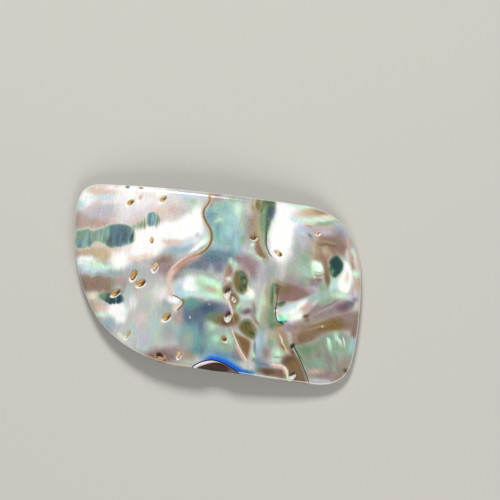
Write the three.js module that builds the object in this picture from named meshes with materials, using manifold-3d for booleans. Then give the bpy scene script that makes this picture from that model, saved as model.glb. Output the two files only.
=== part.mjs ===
// A freeform piece of paua (abalone) shell: cut from the curved wall of a large shell, ground to a
// rounded, tapering outline and polished all over. It is one solid. Its crown follows the bow of the
// old shell, the underside is a shallow arch that stands on two narrow ground lands, worm and sponge
// borings open as small oval pits, and a slanted natural scoop bites into the long lower edge.
// Millimetres, +Z up, X along the piece. The origin is under the middle of its box, on the surface
// that it rests on.

import * as THREE from "three";
import { mergeVertices } from "three/addons/utils/BufferGeometryUtils.js";
import Module from "manifold-3d";

const wasm = await Module();
wasm.setup();

// Outline in plan: a start point, then cubic curves, each as two handles and an end point.
const OUTLINE_START = [-25.8, 11.0];
const OUTLINE_CURVES = [
  [-25.8, 14.4, -24.6, 15.8, -21.4, 15.85], // upper left corner
  [-9.0, 16.05, 3.0, 15.6, 14.0, 15.4], // long upper edge
  [19.6, 15.35, 22.5, 12.6, 24.35, 8.8], // broad upper right corner
  [25.4, 6.2, 25.85, 1.5, 25.8, -3.5], // right end
  [25.8, -6.5, 25.6, -9.0, 25.3, -11.0],
  [24.8, -14.4, 22.6, -15.9, 18.6, -15.9], // lower right corner
  [12.5, -15.9, 2.0, -15.4, -4.2, -15.35], // long lower edge
  [-9.6, -15.3, -15.8, -12.6, -19.5, -8.5], // sweeping lower left side
  [-23.6, -3.4, -25.8, 3.0, -25.8, 11.0],
];

// Bow of the shell wall.
const CROWN_HEIGHT = 5.6; // top of the crown above the resting plane
const CROWN_LONG_RADIUS = 100;
const CROWN_CROSS_RADIUS = 140;
const ARCH_RISE = 2.8; // height of the hollow underneath at its middle
const ARCH_RADIUS = 100;

// Polished round-overs of the rim.
const TOP_EDGE_RADIUS = 0.9;
const BOTTOM_EDGE_RADIUS = 0.5;
const TOP_EDGE_STEPS = 4;
const BOTTOM_EDGE_STEPS = 2;

// Mesh fineness: points round the outline, and rings from the rim in to the middle.
const OUTLINE_POINTS = 112;
const TOP_RINGS = [0.9, 0.76, 0.6, 0.44, 0.28, 0.13];
const UNDERSIDE_RINGS = [0.955, 0.84, 0.68, 0.48, 0.24];

// Borings: centre x, y, half length, half width, turn of the long axis in degrees, depth.
const BORINGS = [
  [-16.2, 12.55, 0.66, 0.4, 45, 0.8],
  [-14.6, 13.55, 0.38, 0.2, 70, 0.4],
  [-10.5, 13.6, 0.68, 0.36, 48, 0.7],
  [-11.6, 5.95, 0.56, 0.3, 95, 0.6],
  [-10.45, 1.3, 0.88, 0.45, 75, 0.9],
  [-14.05, -0.55, 0.95, 0.5, 72, 1.1],
  [-12.65, -1.8, 0.86, 0.58, 32, 1.1],
  [-16.85, -3.85, 0.88, 0.48, 40, 1.0],
  [-7.5, -7.35, 0.84, 0.54, 48, 1.0],
  [-13.9, -11.0, 0.74, 0.3, 66, 0.7],
  [-7.85, -14.1, 0.7, 0.48, -28, 1.0],
  [-4.65, -13.65, 0.66, 0.36, 82, 0.8],
  [6.0, 8.25, 0.5, 0.46, 0, 0.9],
  [2.5, -1.85, 0.86, 0.46, 80, 1.1],
  [3.7, -3.0, 0.46, 0.26, -60, 0.5],
  [3.05, -6.0, 0.88, 0.48, 86, 1.1],
  [2.85, -10.1, 0.5, 0.4, -40, 0.8],
  [10.65, 5.95, 0.78, 0.4, -32, 0.9],
  [17.0, 10.5, 0.42, 0.36, 20, 0.6],
  [15.2, -14.85, 0.66, 0.44, 72, 0.9],
];
const BORING_SEGMENTS = 12;
const BORING_BANDS = 8;

// Scoop in the lower edge: its brow on the crown, then how far it leans out on the way down.
const SCOOP_LEFT = [-2.3, -15.5];
const SCOOP_CURVES = [
  [-1.2, -14.5, 0.2, -13.85, 1.5, -13.9],
  [3.1, -13.95, 4.7, -14.9, 6.3, -15.75],
];
const SCOOP_LEAN = 0.85; // outward run for each millimetre of fall
const SCOOP_BROW_HEIGHT = 4.85; // height of the crown along the brow
const SCOOP_OUTER_Y = -19;
const SCOOP_CUT_TOP = 8;
const SCOOP_CUT_BOTTOM = 0.5;
const SCOOP_POINTS = 24;

function crown(x, y) {
  return CROWN_HEIGHT - (x * x) / (2 * CROWN_LONG_RADIUS) - (y * y) / (2 * CROWN_CROSS_RADIUS);
}

function arch(x) {
  return Math.max(0, ARCH_RISE - (x * x) / (2 * ARCH_RADIUS));
}

function curvePath(start, curves) {
  const path = new THREE.Path();
  path.moveTo(...start);
  for (const curve of curves) path.bezierCurveTo(...curve);
  return path;
}

// Evenly spaced outline points, turning clockwise, with the normal that points outwards at each.
function outlineLoop() {
  const points = curvePath(OUTLINE_START, OUTLINE_CURVES).getSpacedPoints(OUTLINE_POINTS);
  points.pop();
  const count = points.length;
  return points.map((point, i) => {
    const along = points[(i + 1) % count].clone().sub(points[(i + count - 1) % count]).normalize();
    return { point, outward: new THREE.Vector2(-along.y, along.x) };
  });
}

// One closed row of vertices: the outline drawn in by inset, scaled by share, at height(x, y).
function row(loop, inset, share, height) {
  return loop.map(({ point, outward }) => {
    const x = (point.x - outward.x * inset) * share;
    const y = (point.y - outward.y * inset) * share;
    return [x, y, height(x, y)];
  });
}

// Rows from the middle of the crown out over the rim and back to the middle of the underside.
function slabRows(loop) {
  const rows = [];
  for (const share of [...TOP_RINGS].reverse()) rows.push(row(loop, TOP_EDGE_RADIUS, share, crown));
  for (let i = 0; i <= TOP_EDGE_STEPS; i++) {
    const turn = (i / TOP_EDGE_STEPS) * (Math.PI / 2);
    const inset = TOP_EDGE_RADIUS * (1 - Math.sin(turn));
    const drop = TOP_EDGE_RADIUS * (1 - Math.cos(turn));
    rows.push(row(loop, inset, 1, (x, y) => crown(x, y) - drop));
  }
  for (let i = 0; i <= BOTTOM_EDGE_STEPS; i++) {
    const turn = (i / BOTTOM_EDGE_STEPS) * (Math.PI / 2);
    const inset = BOTTOM_EDGE_RADIUS * (1 - Math.cos(turn));
    const lift = BOTTOM_EDGE_RADIUS * (1 - Math.sin(turn));
    rows.push(row(loop, inset, 1, (x) => arch(x) + lift));
  }
  for (const share of UNDERSIDE_RINGS) rows.push(row(loop, BOTTOM_EDGE_RADIUS, share, arch));
  return rows;
}

// Closed slab: bands of triangles between neighbouring rows, and a fan at each middle.
function slabGeometry() {
  const rows = slabRows(outlineLoop());
  const count = rows[0].length;
  const vertices = rows.flat();
  const topMiddle = vertices.push([0, 0, crown(0, 0)]) - 1;
  const underMiddle = vertices.push([0, 0, arch(0)]) - 1;
  const triangles = [];
  const last = (rows.length - 1) * count;
  for (let i = 0; i < count; i++) {
    const next = (i + 1) % count;
    triangles.push([topMiddle, next, i]);
    triangles.push([underMiddle, last + i, last + next]);
    for (let r = 0; r < rows.length - 1; r++) {
      const upper = r * count;
      const lower = upper + count;
      triangles.push([upper + i, upper + next, lower + i]);
      triangles.push([upper + next, lower + next, lower + i]);
    }
  }
  const geometry = new THREE.BufferGeometry();
  geometry.setAttribute("position", new THREE.Float32BufferAttribute(vertices.flat(), 3));
  geometry.setIndex(triangles.flat());
  return geometry;
}

// Ellipsoid with its widest section on the crown, so that the pit opens at its stated size.
function boringGeometry([x, y, halfLength, halfWidth, turn, depth]) {
  const geometry = new THREE.SphereGeometry(1, BORING_SEGMENTS, BORING_BANDS);
  geometry.rotateX(Math.PI / 2);
  geometry.scale(halfLength, halfWidth, depth);
  geometry.rotateZ(THREE.MathUtils.degToRad(turn));
  geometry.translate(x, y, crown(x, y));
  return geometry;
}

// Prism over everything outside the brow, sheared so that its face leans out as it goes down.
function scoopGeometry() {
  const brow = curvePath(SCOOP_LEFT, SCOOP_CURVES).getSpacedPoints(SCOOP_POINTS);
  const first = brow[0];
  const last = brow[brow.length - 1];
  const shape = new THREE.Shape([
    ...brow,
    new THREE.Vector2(last.x + SCOOP_LEAN, last.y - SCOOP_LEAN),
    new THREE.Vector2(last.x, SCOOP_OUTER_Y),
    new THREE.Vector2(first.x, SCOOP_OUTER_Y),
    new THREE.Vector2(first.x - SCOOP_LEAN, first.y - SCOOP_LEAN),
  ]);
  const depth = SCOOP_CUT_TOP - SCOOP_CUT_BOTTOM;
  const geometry = new THREE.ExtrudeGeometry(shape, { depth, bevelEnabled: false });
  geometry.translate(0, 0, SCOOP_CUT_BOTTOM);
  const lean = new THREE.Matrix4().set(
    1, 0, 0, 0,
    0, 1, SCOOP_LEAN, -SCOOP_LEAN * SCOOP_BROW_HEIGHT,
    0, 0, 1, 0,
    0, 0, 0, 1,
  );
  return geometry.applyMatrix4(lean);
}

function solidOf(geometry) {
  const bare = geometry.clone();
  bare.deleteAttribute("normal");
  bare.deleteAttribute("uv");
  const merged = mergeVertices(bare, 1e-4);
  return new wasm.Manifold(
    new wasm.Mesh({
      numProp: 3,
      vertProperties: new Float32Array(merged.attributes.position.array),
      triVerts: new Uint32Array(merged.index.array),
    }),
  );
}

function geometryOf(solid) {
  const mesh = solid.getMesh();
  const geometry = new THREE.BufferGeometry();
  geometry.setAttribute("position", new THREE.BufferAttribute(mesh.vertProperties, 3));
  geometry.setIndex(new THREE.BufferAttribute(mesh.triVerts, 1));
  geometry.computeVertexNormals();
  return geometry;
}

function shellPiece() {
  let solid = solidOf(slabGeometry()).subtract(solidOf(scoopGeometry()));
  for (const boring of BORINGS) solid = solid.subtract(solidOf(boringGeometry(boring)));
  const nacre = new THREE.MeshStandardMaterial({ color: 0xb9bdb2, roughness: 0.22, metalness: 0.25 });
  const mesh = new THREE.Mesh(geometryOf(solid), nacre);
  mesh.name = "paua_shell_piece";
  return mesh;
}

const piece = new THREE.Group();
piece.add(shellPiece());

export default piece;
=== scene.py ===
# A polished freeform piece of paua (abalone) shell, about 52 by 32 mm and 2.7 mm thick, lying on its
# bowed underside. Sizes in this file are millimetres in the part's own frame, +Z up, and are turned into
# metres as each mesh is written. Runs from top to bottom.

import bpy
import numpy as np
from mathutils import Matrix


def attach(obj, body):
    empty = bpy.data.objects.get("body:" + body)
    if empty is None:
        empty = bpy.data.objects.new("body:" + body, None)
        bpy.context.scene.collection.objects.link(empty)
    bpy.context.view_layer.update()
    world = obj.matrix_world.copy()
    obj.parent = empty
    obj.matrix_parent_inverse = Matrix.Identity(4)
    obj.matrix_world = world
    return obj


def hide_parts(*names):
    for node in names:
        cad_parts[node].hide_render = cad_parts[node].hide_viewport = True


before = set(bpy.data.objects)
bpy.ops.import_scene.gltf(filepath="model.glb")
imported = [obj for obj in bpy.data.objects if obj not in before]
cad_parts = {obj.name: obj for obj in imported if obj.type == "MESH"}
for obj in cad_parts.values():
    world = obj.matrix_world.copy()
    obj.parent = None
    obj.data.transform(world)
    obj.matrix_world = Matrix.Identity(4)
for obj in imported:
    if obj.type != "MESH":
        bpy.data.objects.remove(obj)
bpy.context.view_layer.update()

MM = 0.001

# The slab.
# One piece of the shell's wall, sawn from a large old shell and ground to a rounded, tapering outline.
# It keeps the bow of the shell: a domed crown above, and a shallow hollow below that stands on two
# narrow ground lands. All of its edges are rounded over by polishing.

OUTLINE_START = (-25.8, 11.0)
OUTLINE_CURVES = [  # each is two handles and an end point
    (-25.8, 14.4, -24.6, 15.8, -21.4, 15.85),  # upper left corner
    (-9.0, 16.05, 3.0, 15.6, 14.0, 15.4),  # long upper edge
    (19.6, 15.35, 22.5, 12.6, 24.35, 8.8),  # broad upper right corner
    (25.4, 6.2, 25.85, 1.5, 25.8, -3.5),  # right end
    (25.8, -6.5, 25.6, -9.0, 25.3, -11.0),
    (24.8, -14.4, 22.6, -15.9, 18.6, -15.9),  # lower right corner
    (12.5, -15.9, 2.0, -15.4, -4.2, -15.35),  # long lower edge
    (-9.6, -15.3, -15.8, -12.6, -19.5, -8.5),  # sweeping lower left side
    (-23.6, -3.4, -25.8, 3.0, -25.8, 11.0),
]
CROWN_HEIGHT = 5.6
CROWN_LONG_RADIUS = 100
CROWN_CROSS_RADIUS = 140
ARCH_RISE = 2.8
ARCH_RADIUS = 100
TOP_EDGE_RADIUS = 0.9
BOTTOM_EDGE_RADIUS = 0.5

# Where the outline is parted into the four sides of the grid that covers the crown.
GRID_CORNERS = [(-24.6, 14.9), (22.6, 12.2), (24.0, -14.3), (-18.6, -9.6)]
GRID_LONG = 320
GRID_ACROSS = 200
SMOOTHING_PASSES = 60
OUTLINE_STEPS = 200  # chords in each of the outline's curves


def curve_chain(start, curves, steps):
    """Cubic curves end to end: points weighted by (1-t)^3, 3t(1-t)^2, 3t^2(1-t) and t^3."""
    t = np.linspace(0, 1, steps, endpoint=False)[:, None]
    weights = np.hstack([(1 - t) ** 3, 3 * t * (1 - t) ** 2, 3 * t**2 * (1 - t), t**3])
    pieces = []
    for curve in curves:
        corners = np.array([*start, *curve]).reshape(4, 2)
        pieces.append(weights @ corners)
        start = curve[4:]
    return np.vstack([*pieces, np.array([start])])


def evenly_along(points, count):
    """count + 1 points at even steps of length along a line of many short chords."""
    length = np.append(0, np.cumsum(np.hypot(*np.diff(points, axis=0).T)))
    at = np.linspace(0, length[-1], count + 1)
    return np.column_stack([np.interp(at, length, points[:, k]) for k in (0, 1)])


def crown(x, y):
    """Paraboloid: the crown's height less the square of each distance over twice that way's radius."""
    return CROWN_HEIGHT - x**2 / (2 * CROWN_LONG_RADIUS) - y**2 / (2 * CROWN_CROSS_RADIUS)


def arch(x):
    """Hollow below: its rise less x squared over twice the radius, and 0 on the two ground lands."""
    return np.maximum(0, ARCH_RISE - x**2 / (2 * ARCH_RADIUS))


def grid_from_rim(top, right, bottom, left):
    """Sheet of points between four sides: the two straight blends of opposite sides added together,
    less the blend of the four corners, then evened out by moving points to their neighbours' mean."""
    u = np.linspace(0, 1, len(top))[:, None, None]
    v = np.linspace(0, 1, len(left))[None, :, None]
    sheet = (1 - v) * top[:, None] + v * bottom[:, None] + (1 - u) * left[None] + u * right[None]
    sheet -= (1 - u) * ((1 - v) * top[0] + v * bottom[0]) + u * ((1 - v) * top[-1] + v * bottom[-1])
    for _ in range(SMOOTHING_PASSES):
        around = sheet[:-2, 1:-1] + sheet[2:, 1:-1] + sheet[1:-1, :-2] + sheet[1:-1, 2:]
        sheet[1:-1, 1:-1] = around / 4
    return sheet


# The outline runs clockwise, seen from above, starting at the first grid corner.
outline = curve_chain(OUTLINE_START, OUTLINE_CURVES, OUTLINE_STEPS)[:-1]
corner_at = [int(np.argmin(np.hypot(*(outline - corner).T))) for corner in GRID_CORNERS]
outline = np.roll(outline, -corner_at[0], axis=0)
corner_at = [(at - corner_at[0]) % len(outline) for at in corner_at] + [len(outline)]
outline = np.vstack([outline, outline[:1]])
sides = [
    evenly_along(outline[first : last + 1], count)
    for first, last, count in zip(corner_at, corner_at[1:], [GRID_LONG, GRID_ACROSS] * 2)
]
rim = np.vstack([side[:-1] for side in sides])
rim_direction = np.roll(rim, -1, axis=0) - np.roll(rim, 1, axis=0)
rim_direction /= np.hypot(*rim_direction.T)[:, None]
rim_inward = np.column_stack([rim_direction[:, 1], -rim_direction[:, 0]])


def rim_sides(loop, long, across):
    """A closed loop of points parted into the top, right, bottom and left side of a grid, which has
    long steps one way and across steps the other."""
    closed = np.vstack([loop, loop[:1]])
    top = closed[: long + 1]
    right = closed[long : long + across + 1]
    bottom = closed[long + across : 2 * long + across + 1][::-1]
    left = closed[2 * long + across :][::-1]
    return top, right, bottom, left


sheet = grid_from_rim(*rim_sides(rim + rim_inward * TOP_EDGE_RADIUS, GRID_LONG, GRID_ACROSS))

# The borings.
# Worms and sponges drilled the living shell, and grinding opened their tunnels as small oval pits.
# Each is a cup whose widest section lies on the crown, with its lip slightly dulled by polishing.

BORINGS = [  # centre x, y, half length, half width, turn of the long axis in degrees, depth
    (-16.2, 12.55, 0.66, 0.40, 45, 0.8),
    (-14.6, 13.55, 0.38, 0.20, 70, 0.4),
    (-10.5, 13.6, 0.68, 0.36, 48, 0.7),
    (-11.6, 5.95, 0.56, 0.30, 95, 0.6),
    (-10.45, 1.3, 0.88, 0.45, 75, 0.9),
    (-14.05, -0.55, 0.95, 0.50, 72, 1.1),
    (-12.65, -1.8, 0.86, 0.58, 32, 1.1),
    (-16.85, -3.85, 0.88, 0.48, 40, 1.0),
    (-7.5, -7.35, 0.84, 0.54, 48, 1.0),
    (-13.9, -11.0, 0.74, 0.30, 66, 0.7),
    (-7.85, -14.1, 0.70, 0.48, -28, 1.0),
    (-4.65, -13.65, 0.66, 0.36, 82, 0.8),
    (6.0, 8.25, 0.50, 0.46, 0, 0.9),
    (2.5, -1.85, 0.86, 0.46, 80, 1.1),
    (3.7, -3.0, 0.46, 0.26, -60, 0.5),
    (3.05, -6.0, 0.88, 0.48, 86, 1.1),
    (2.85, -10.1, 0.50, 0.40, -40, 0.8),
    (10.65, 5.95, 0.78, 0.40, -32, 0.9),
    (17.0, 10.5, 0.42, 0.36, 20, 0.6),
    (15.2, -14.85, 0.66, 0.44, 72, 0.9),
]
LIP_DROP = 0.05
LIP_WIDTH = 0.12
PIT_PULL = 0.5  # how much closer together the grid's points stand inside a pit
PIT_PULL_REACH = 2.6  # in half lengths
PIT_PULL_FULL = 0.25  # share of that reach within which the pull is full
RIM_HOLD = 8  # rows of points next to the rim that are held back from the pull
PIT_SNAP = 0.055  # how near the lip a point is put on it
LEAST = 0.01  # smallest distance or radius that anything is divided by
OPEN_SHARE = 0.6  # of each tunnel's depth that lime and dust have not filled


def smooth_step(value, low, high):
    """0 below low, 1 above high, and 3 t squared less 2 t cubed between them."""
    t = np.clip((value - low) / (high - low), 0, 1)
    return t * t * (3 - 2 * t)


def boring_radius(x, y, boring):
    """Distance from the pit's centre in its own turned axes, each over that half size: 1 on the lip."""
    centre_x, centre_y, half_length, half_width, turn, _ = boring
    cos, sin = np.cos(np.radians(turn)), np.sin(np.radians(turn))
    along = (x - centre_x) * cos + (y - centre_y) * sin
    across = (y - centre_y) * cos - (x - centre_x) * sin
    return np.hypot(along / half_length, across / half_width)


def gather_at_borings(sheet):
    """Moves the points near each pit towards its centre, by a share that fades to nothing at its reach
    and at the rim, then puts the points that lie next to its lip on the lip."""
    from_rim = np.minimum.outer(
        np.minimum(np.arange(GRID_LONG + 1), GRID_LONG - np.arange(GRID_LONG + 1)),
        np.minimum(np.arange(GRID_ACROSS + 1), GRID_ACROSS - np.arange(GRID_ACROSS + 1)),
    )
    free = np.clip(from_rim / RIM_HOLD, 0, 1)[..., None]
    for boring in BORINGS:
        centre, reach = np.array(boring[:2]), boring[2] * PIT_PULL_REACH
        away = np.linalg.norm(sheet - centre, axis=2, keepdims=True)
        pull = PIT_PULL * (1 - smooth_step(away, PIT_PULL_FULL * reach, reach))
        sheet = sheet - (sheet - centre) * free * pull
    for boring in BORINGS:
        offset = sheet - np.array(boring[:2])
        radius = np.maximum(boring_radius(sheet[..., 0], sheet[..., 1], boring), LEAST)[..., None]
        gap = np.linalg.norm(offset, axis=2, keepdims=True) * np.abs(1 - 1 / radius)
        onto_lip = (gap < PIT_SNAP) & (free > 0)
        sheet = np.where(onto_lip, boring[:2] + offset / radius, sheet)
    return sheet


def drop_into_borings(x, y, z):
    """Inside a lip the surface is the lower half of an ellipsoid, its open depth times the root of
    1 - radius squared below the crown, and outside it a shallow bell-shaped fall towards the lip."""
    for boring in BORINGS:
        radius = boring_radius(x, y, boring)
        open_depth = OPEN_SHARE * boring[5]
        cup = crown(boring[0], boring[1]) - open_depth * np.sqrt(np.clip(1 - radius**2, 0, 1))
        from_lip = np.clip(radius - 1, 0, None) * boring[3]
        z = z - LIP_DROP * np.exp(-((from_lip / LIP_WIDTH) ** 2)) * (radius >= 1)
        z = np.where(radius < 1, np.minimum(z, cup - LIP_DROP), z)
    return z


# The scoop.
# A natural hollow of the old shell bites into the long lower edge. From a crisp brow on the crown its
# wall bulges a little and falls outwards, and ends on the rim just above the underside.

SCOOP_LEFT = (-2.3, -15.5)
SCOOP_CURVES = [
    (-1.2, -14.5, 0.2, -13.85, 1.5, -13.9),
    (3.1, -13.95, 4.7, -14.9, 6.3, -15.75),
]
SCOOP_FIRST_FALL = 0.8  # fall for each millimetre outwards, just below the brow
SCOOP_LATER_FALL = 0.28  # the same for each millimetre squared
SCOOP_END_SLOPE = 1.0  # of the lines that carry the brow on past its two ends
BROW_STEPS = 40
BROW_SNAP = 0.07  # how near the brow a point is put on it

brow = curve_chain(SCOOP_LEFT, SCOOP_CURVES, BROW_STEPS)


def brow_y(x):
    """The brow as y over x, going on outwards past both ends at an even slope."""
    before = np.clip(brow[0, 0] - x, 0, None)
    after = np.clip(x - brow[-1, 0], 0, None)
    return np.interp(x, brow[:, 0], brow[:, 1]) - SCOOP_END_SLOPE * (before + after)


def drop_into_scoop(x, y, z):
    """Outside the brow the surface falls by the first slope times the distance out, plus the later
    slope times its square."""
    out = np.clip(brow_y(x) - y, 0, None)
    wall = crown(x, brow_y(x)) - SCOOP_FIRST_FALL * out - SCOOP_LATER_FALL * out**2
    return np.where(out > 0, np.minimum(z, wall), z)


# Marks on the crown.
# Growth lines, cracks and the edges of single nacre layers, which grinding has cut open. Each is a line
# of given points, drawn smoothly, and most are also a very shallow groove.

MARKS = {  # groove depth, groove half width, points
    "growth_line": (0.05, 0.22, [
        (-2.0, 16.2), (-2.25, 14.5), (-2.4, 13.7), (-2.75, 13.0), (-3.05, 12.4), (-3.1, 11.6), (-2.85, 10.8),
        (-2.4, 10.0), (-1.85, 9.2), (-1.45, 8.4), (-1.25, 7.5), (-1.3, 6.6), (-1.65, 5.7), (-2.25, 4.9),
        (-3.1, 4.2), (-4.2, 3.6), (-5.2, 3.1), (-6.1, 2.3), (-7.0, 1.3), (-7.6, 0.2), (-7.8, -1.0),
        (-7.6, -2.2), (-7.2, -3.2),
    ]),
    "notch": (0.06, 0.2, [
        (-6.7, -3.45), (-6.2, -3.6), (-5.5, -3.9), (-5.1, -4.2), (-5.1, -4.8), (-5.5, -5.4), (-6.0, -6.0),
    ]),
    "green_strip_edge": (0.05, 0.18, [
        (8.5, 11.6), (8.3, 10.2), (8.25, 9.0), (8.3, 7.8), (8.45, 7.0), (8.75, 6.3), (9.05, 5.7), (9.5, 5.3),
    ]),
    "moss_strip_edge": (0.05, 0.15, [
        (11.5, 0.0), (11.3, -0.7), (11.2, -2.0), (11.2, -3.3), (11.15, -4.3), (11.35, -5.2), (11.6, -5.8),
        (12.0, -6.15), (12.8, -6.3),
    ]),
    "crack": (0.1, 0.1, [
        (14.75, -9.7), (15.6, -11.0), (16.5, -12.5), (17.3, -14.0), (17.9, -15.2), (18.3, -16.2),
    ]),
    "cream_line_upper": (0.03, 0.15, [(2.5, -3.1), (3.0, -3.8), (3.35, -4.45), (3.6, -5.0), (3.75, -5.5)]),
    "cream_line_lower": (0.03, 0.15, [
        (4.1, -8.5), (4.6, -9.6), (5.2, -10.7), (5.9, -11.8), (6.6, -12.8), (7.1, -13.3),
    ]),
    "cream_wave": (0.03, 0.2, [
        (11.6, -13.4), (12.4, -13.5), (13.1, -13.55), (13.8, -13.85), (14.25, -14.5), (14.35, -15.2),
        (14.6, -15.7), (15.1, -16.1),
    ]),
    "right_line": (0.03, 0.12, [(22.0, 11.0), (22.5, 9.8), (22.9, 8.4), (23.2, 7.2), (23.6, 5.6)]),
}
MARK_FADE = 0.06  # share of a groove's length over which each of its ends fades
WAVES = [  # each hand-ground wave: radians per millimetre in x and in y, and how far it is shifted
    (0.42, 0.13, 0.3),
    (-0.21, 0.55, 1.7),
    (0.75, 0.35, 4.1),
    (0.31, -0.83, 2.6),
]


def through_points(points, steps=8):
    """Smooth line through every point: between two points, the cubic whose slope at each is half the
    way from the point before it to the point after it."""
    p = np.array(points)
    p = np.vstack([2 * p[0] - p[1], p, 2 * p[-1] - p[-2]])
    t = np.linspace(0, 1, steps, endpoint=False)[None, :, None]
    a, b, c, d = (p[k : len(p) - 3 + k][:, None] for k in range(4))
    line = 0.5 * (2 * b + (c - a) * t + (2 * a - 5 * b + 4 * c - d) * t**2 + (3 * b - a - 3 * c + d) * t**3)
    return np.vstack([line.reshape(-1, 2), p[-2:-1]])


def along_line(x, y, line):
    """(distance, share) to the nearest place on a line of chords: the distance is above 0 to the left
    of its direction, and the share is the length up to that place over the whole length."""
    chords = np.diff(line, axis=0)
    lengths = np.hypot(*chords.T)
    start = np.append(0, np.cumsum(lengths))
    nearest = np.full(x.shape, np.inf)
    signed = np.zeros(x.shape)
    share = np.zeros(x.shape)
    for (from_x, from_y), (way_x, way_y), length, begun in zip(line, chords, lengths, start):
        part = np.clip(((x - from_x) * way_x + (y - from_y) * way_y) / length**2, 0, 1)
        off_x, off_y = x - from_x - part * way_x, y - from_y - part * way_y
        distance = np.hypot(off_x, off_y)
        closer = distance < nearest
        nearest = np.where(closer, distance, nearest)
        signed = np.where(closer, distance * np.sign(way_x * off_y - way_y * off_x), signed)
        share = np.where(closer, (begun + part * length) / start[-1], share)
    return signed, share


def uneven(x, y):
    """Low hand-ground waves: the mean of four sines of different directions, 7 to 14 mm long."""
    return sum(np.sin(across * x + up * y + phase) for across, up, phase in WAVES) / len(WAVES)


# The whole surface, as one closed mesh: the crown's sheet, rows over the rim, and a sheet below with
# half as many points each way.

UNEVEN_CROWN = 0.03  # height of the waves above, and below
UNEVEN_UNDERSIDE = 0.04
UNDERSIDE_SHIFT = 40  # the underside has the waves that the crown would have this far to the right
LAND_FADE = 0.6  # height of the hollow at which the waves are full, so that the ground lands stay flat
CRISP_ANGLE = 50  # degrees between two faces from which the edge between them looks sharp
TOP_EDGE_ROWS = 7
SIDE_ROWS = 3
BOTTOM_EDGE_ROWS = 4
SIDE_SHARE = 0.6  # most of the side's height that the lower round-over may take


def crown_surface(x, y, z):
    """The given height with the waves, grooves, pits and scoop taken out of it."""
    z = z - UNEVEN_CROWN * (1 + uneven(x, y)) / 2
    for depth, half_width, points in MARKS.values():
        distance, share = along_line(x, y, through_points(points))
        ends = smooth_step(share, 0, MARK_FADE) * (1 - smooth_step(share, 1 - MARK_FADE, 1))
        z = z - depth * ends * np.exp(-((distance / half_width) ** 2))
    return drop_into_scoop(x, y, drop_into_borings(x, y, z))


def rim_row(loop, inward, inset, height):
    """The outline moved inwards by inset, each point at the height that the function gives there."""
    at = loop + inward * inset
    return np.column_stack([at, height(at[:, 0], at[:, 1])])


sheet = gather_at_borings(sheet)
near_brow = np.abs(sheet[1:-1, 1:-1, 1] - brow_y(sheet[1:-1, 1:-1, 0])) < BROW_SNAP
sheet[1:-1, 1:-1, 1] = np.where(near_brow, brow_y(sheet[1:-1, 1:-1, 0]), sheet[1:-1, 1:-1, 1])
sheet_x, sheet_y = sheet[..., 0], sheet[..., 1]
top_sheet = np.dstack([sheet_x, sheet_y, crown_surface(sheet_x, sheet_y, crown(sheet_x, sheet_y))])

rows = []
for turn in np.linspace(0, np.pi / 2, TOP_EDGE_ROWS + 1)[1:]:
    inset = TOP_EDGE_RADIUS * (1 - np.sin(turn))
    fall = TOP_EDGE_RADIUS * (1 - np.cos(turn))
    rows.append(rim_row(rim, rim_inward, inset, lambda x, y: crown_surface(x, y, crown(x, y) - fall)))

low_rim, low_inward = rim[::2], rim_inward[::2]
side_top = rows[-1][::2, 2]
side_foot = np.minimum(BOTTOM_EDGE_RADIUS, SIDE_SHARE * (side_top - arch(low_rim[:, 0])))
low_rows = []
for share in np.linspace(0, 1, SIDE_ROWS + 1)[1:]:
    height = side_top + (arch(low_rim[:, 0]) + side_foot - side_top) * share
    low_rows.append(np.column_stack([low_rim, height]))
for turn in np.linspace(0, np.pi / 2, BOTTOM_EDGE_ROWS + 1)[1:]:
    at = low_rim + low_inward * BOTTOM_EDGE_RADIUS * (1 - np.cos(turn))
    low_rows.append(np.column_stack([at, arch(at[:, 0]) + side_foot * (1 - np.sin(turn))]))

under_rim = low_rim + low_inward * BOTTOM_EDGE_RADIUS
under = grid_from_rim(*rim_sides(under_rim, GRID_LONG // 2, GRID_ACROSS // 2))
under_x, under_y = under[..., 0], under[..., 1]
under_waves = UNEVEN_UNDERSIDE * (1 + uneven(under_x + UNDERSIDE_SHIFT, under_y))
under_lift = under_waves * smooth_step(arch(under_x), 0, LAND_FADE)
under_sheet = np.dstack([under, arch(under_x) + under_lift])


def sheet_faces(number):
    """Squares between the points of a grid of point numbers, turning left seen from its upper side."""
    return np.stack([number[:-1, :-1], number[:-1, 1:], number[1:, 1:], number[1:, :-1]], -1).reshape(-1, 4)


def loop_of(number):
    """Numbers round the edge of a grid, in the outline's own order."""
    return np.concatenate([number[:-1, 0], number[-1, :-1], number[:0:-1, -1], number[0, :0:-1]])


def band_faces(upper, lower):
    """Squares between two closed rows of as many points."""
    return np.stack([upper, np.roll(upper, -1), np.roll(lower, -1), lower], -1)


def add_rows(new_rows, row_number, count):
    """Joins each closed row of points to the one above it, and gives the numbers of the last row's points
    and how many points there are by then."""
    for row in new_rows:
        below = np.arange(count, count + len(row))
        squares.append(band_faces(row_number, below))
        points.append(row)
        row_number, count = below, count + len(row)
    return row_number, count


top_number = np.arange(top_sheet[..., 0].size).reshape(top_sheet.shape[:2])
points = [top_sheet.reshape(-1, 3)]
squares = [sheet_faces(top_number)]
row_number, count = add_rows(rows, loop_of(top_number), top_number.size)

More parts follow.
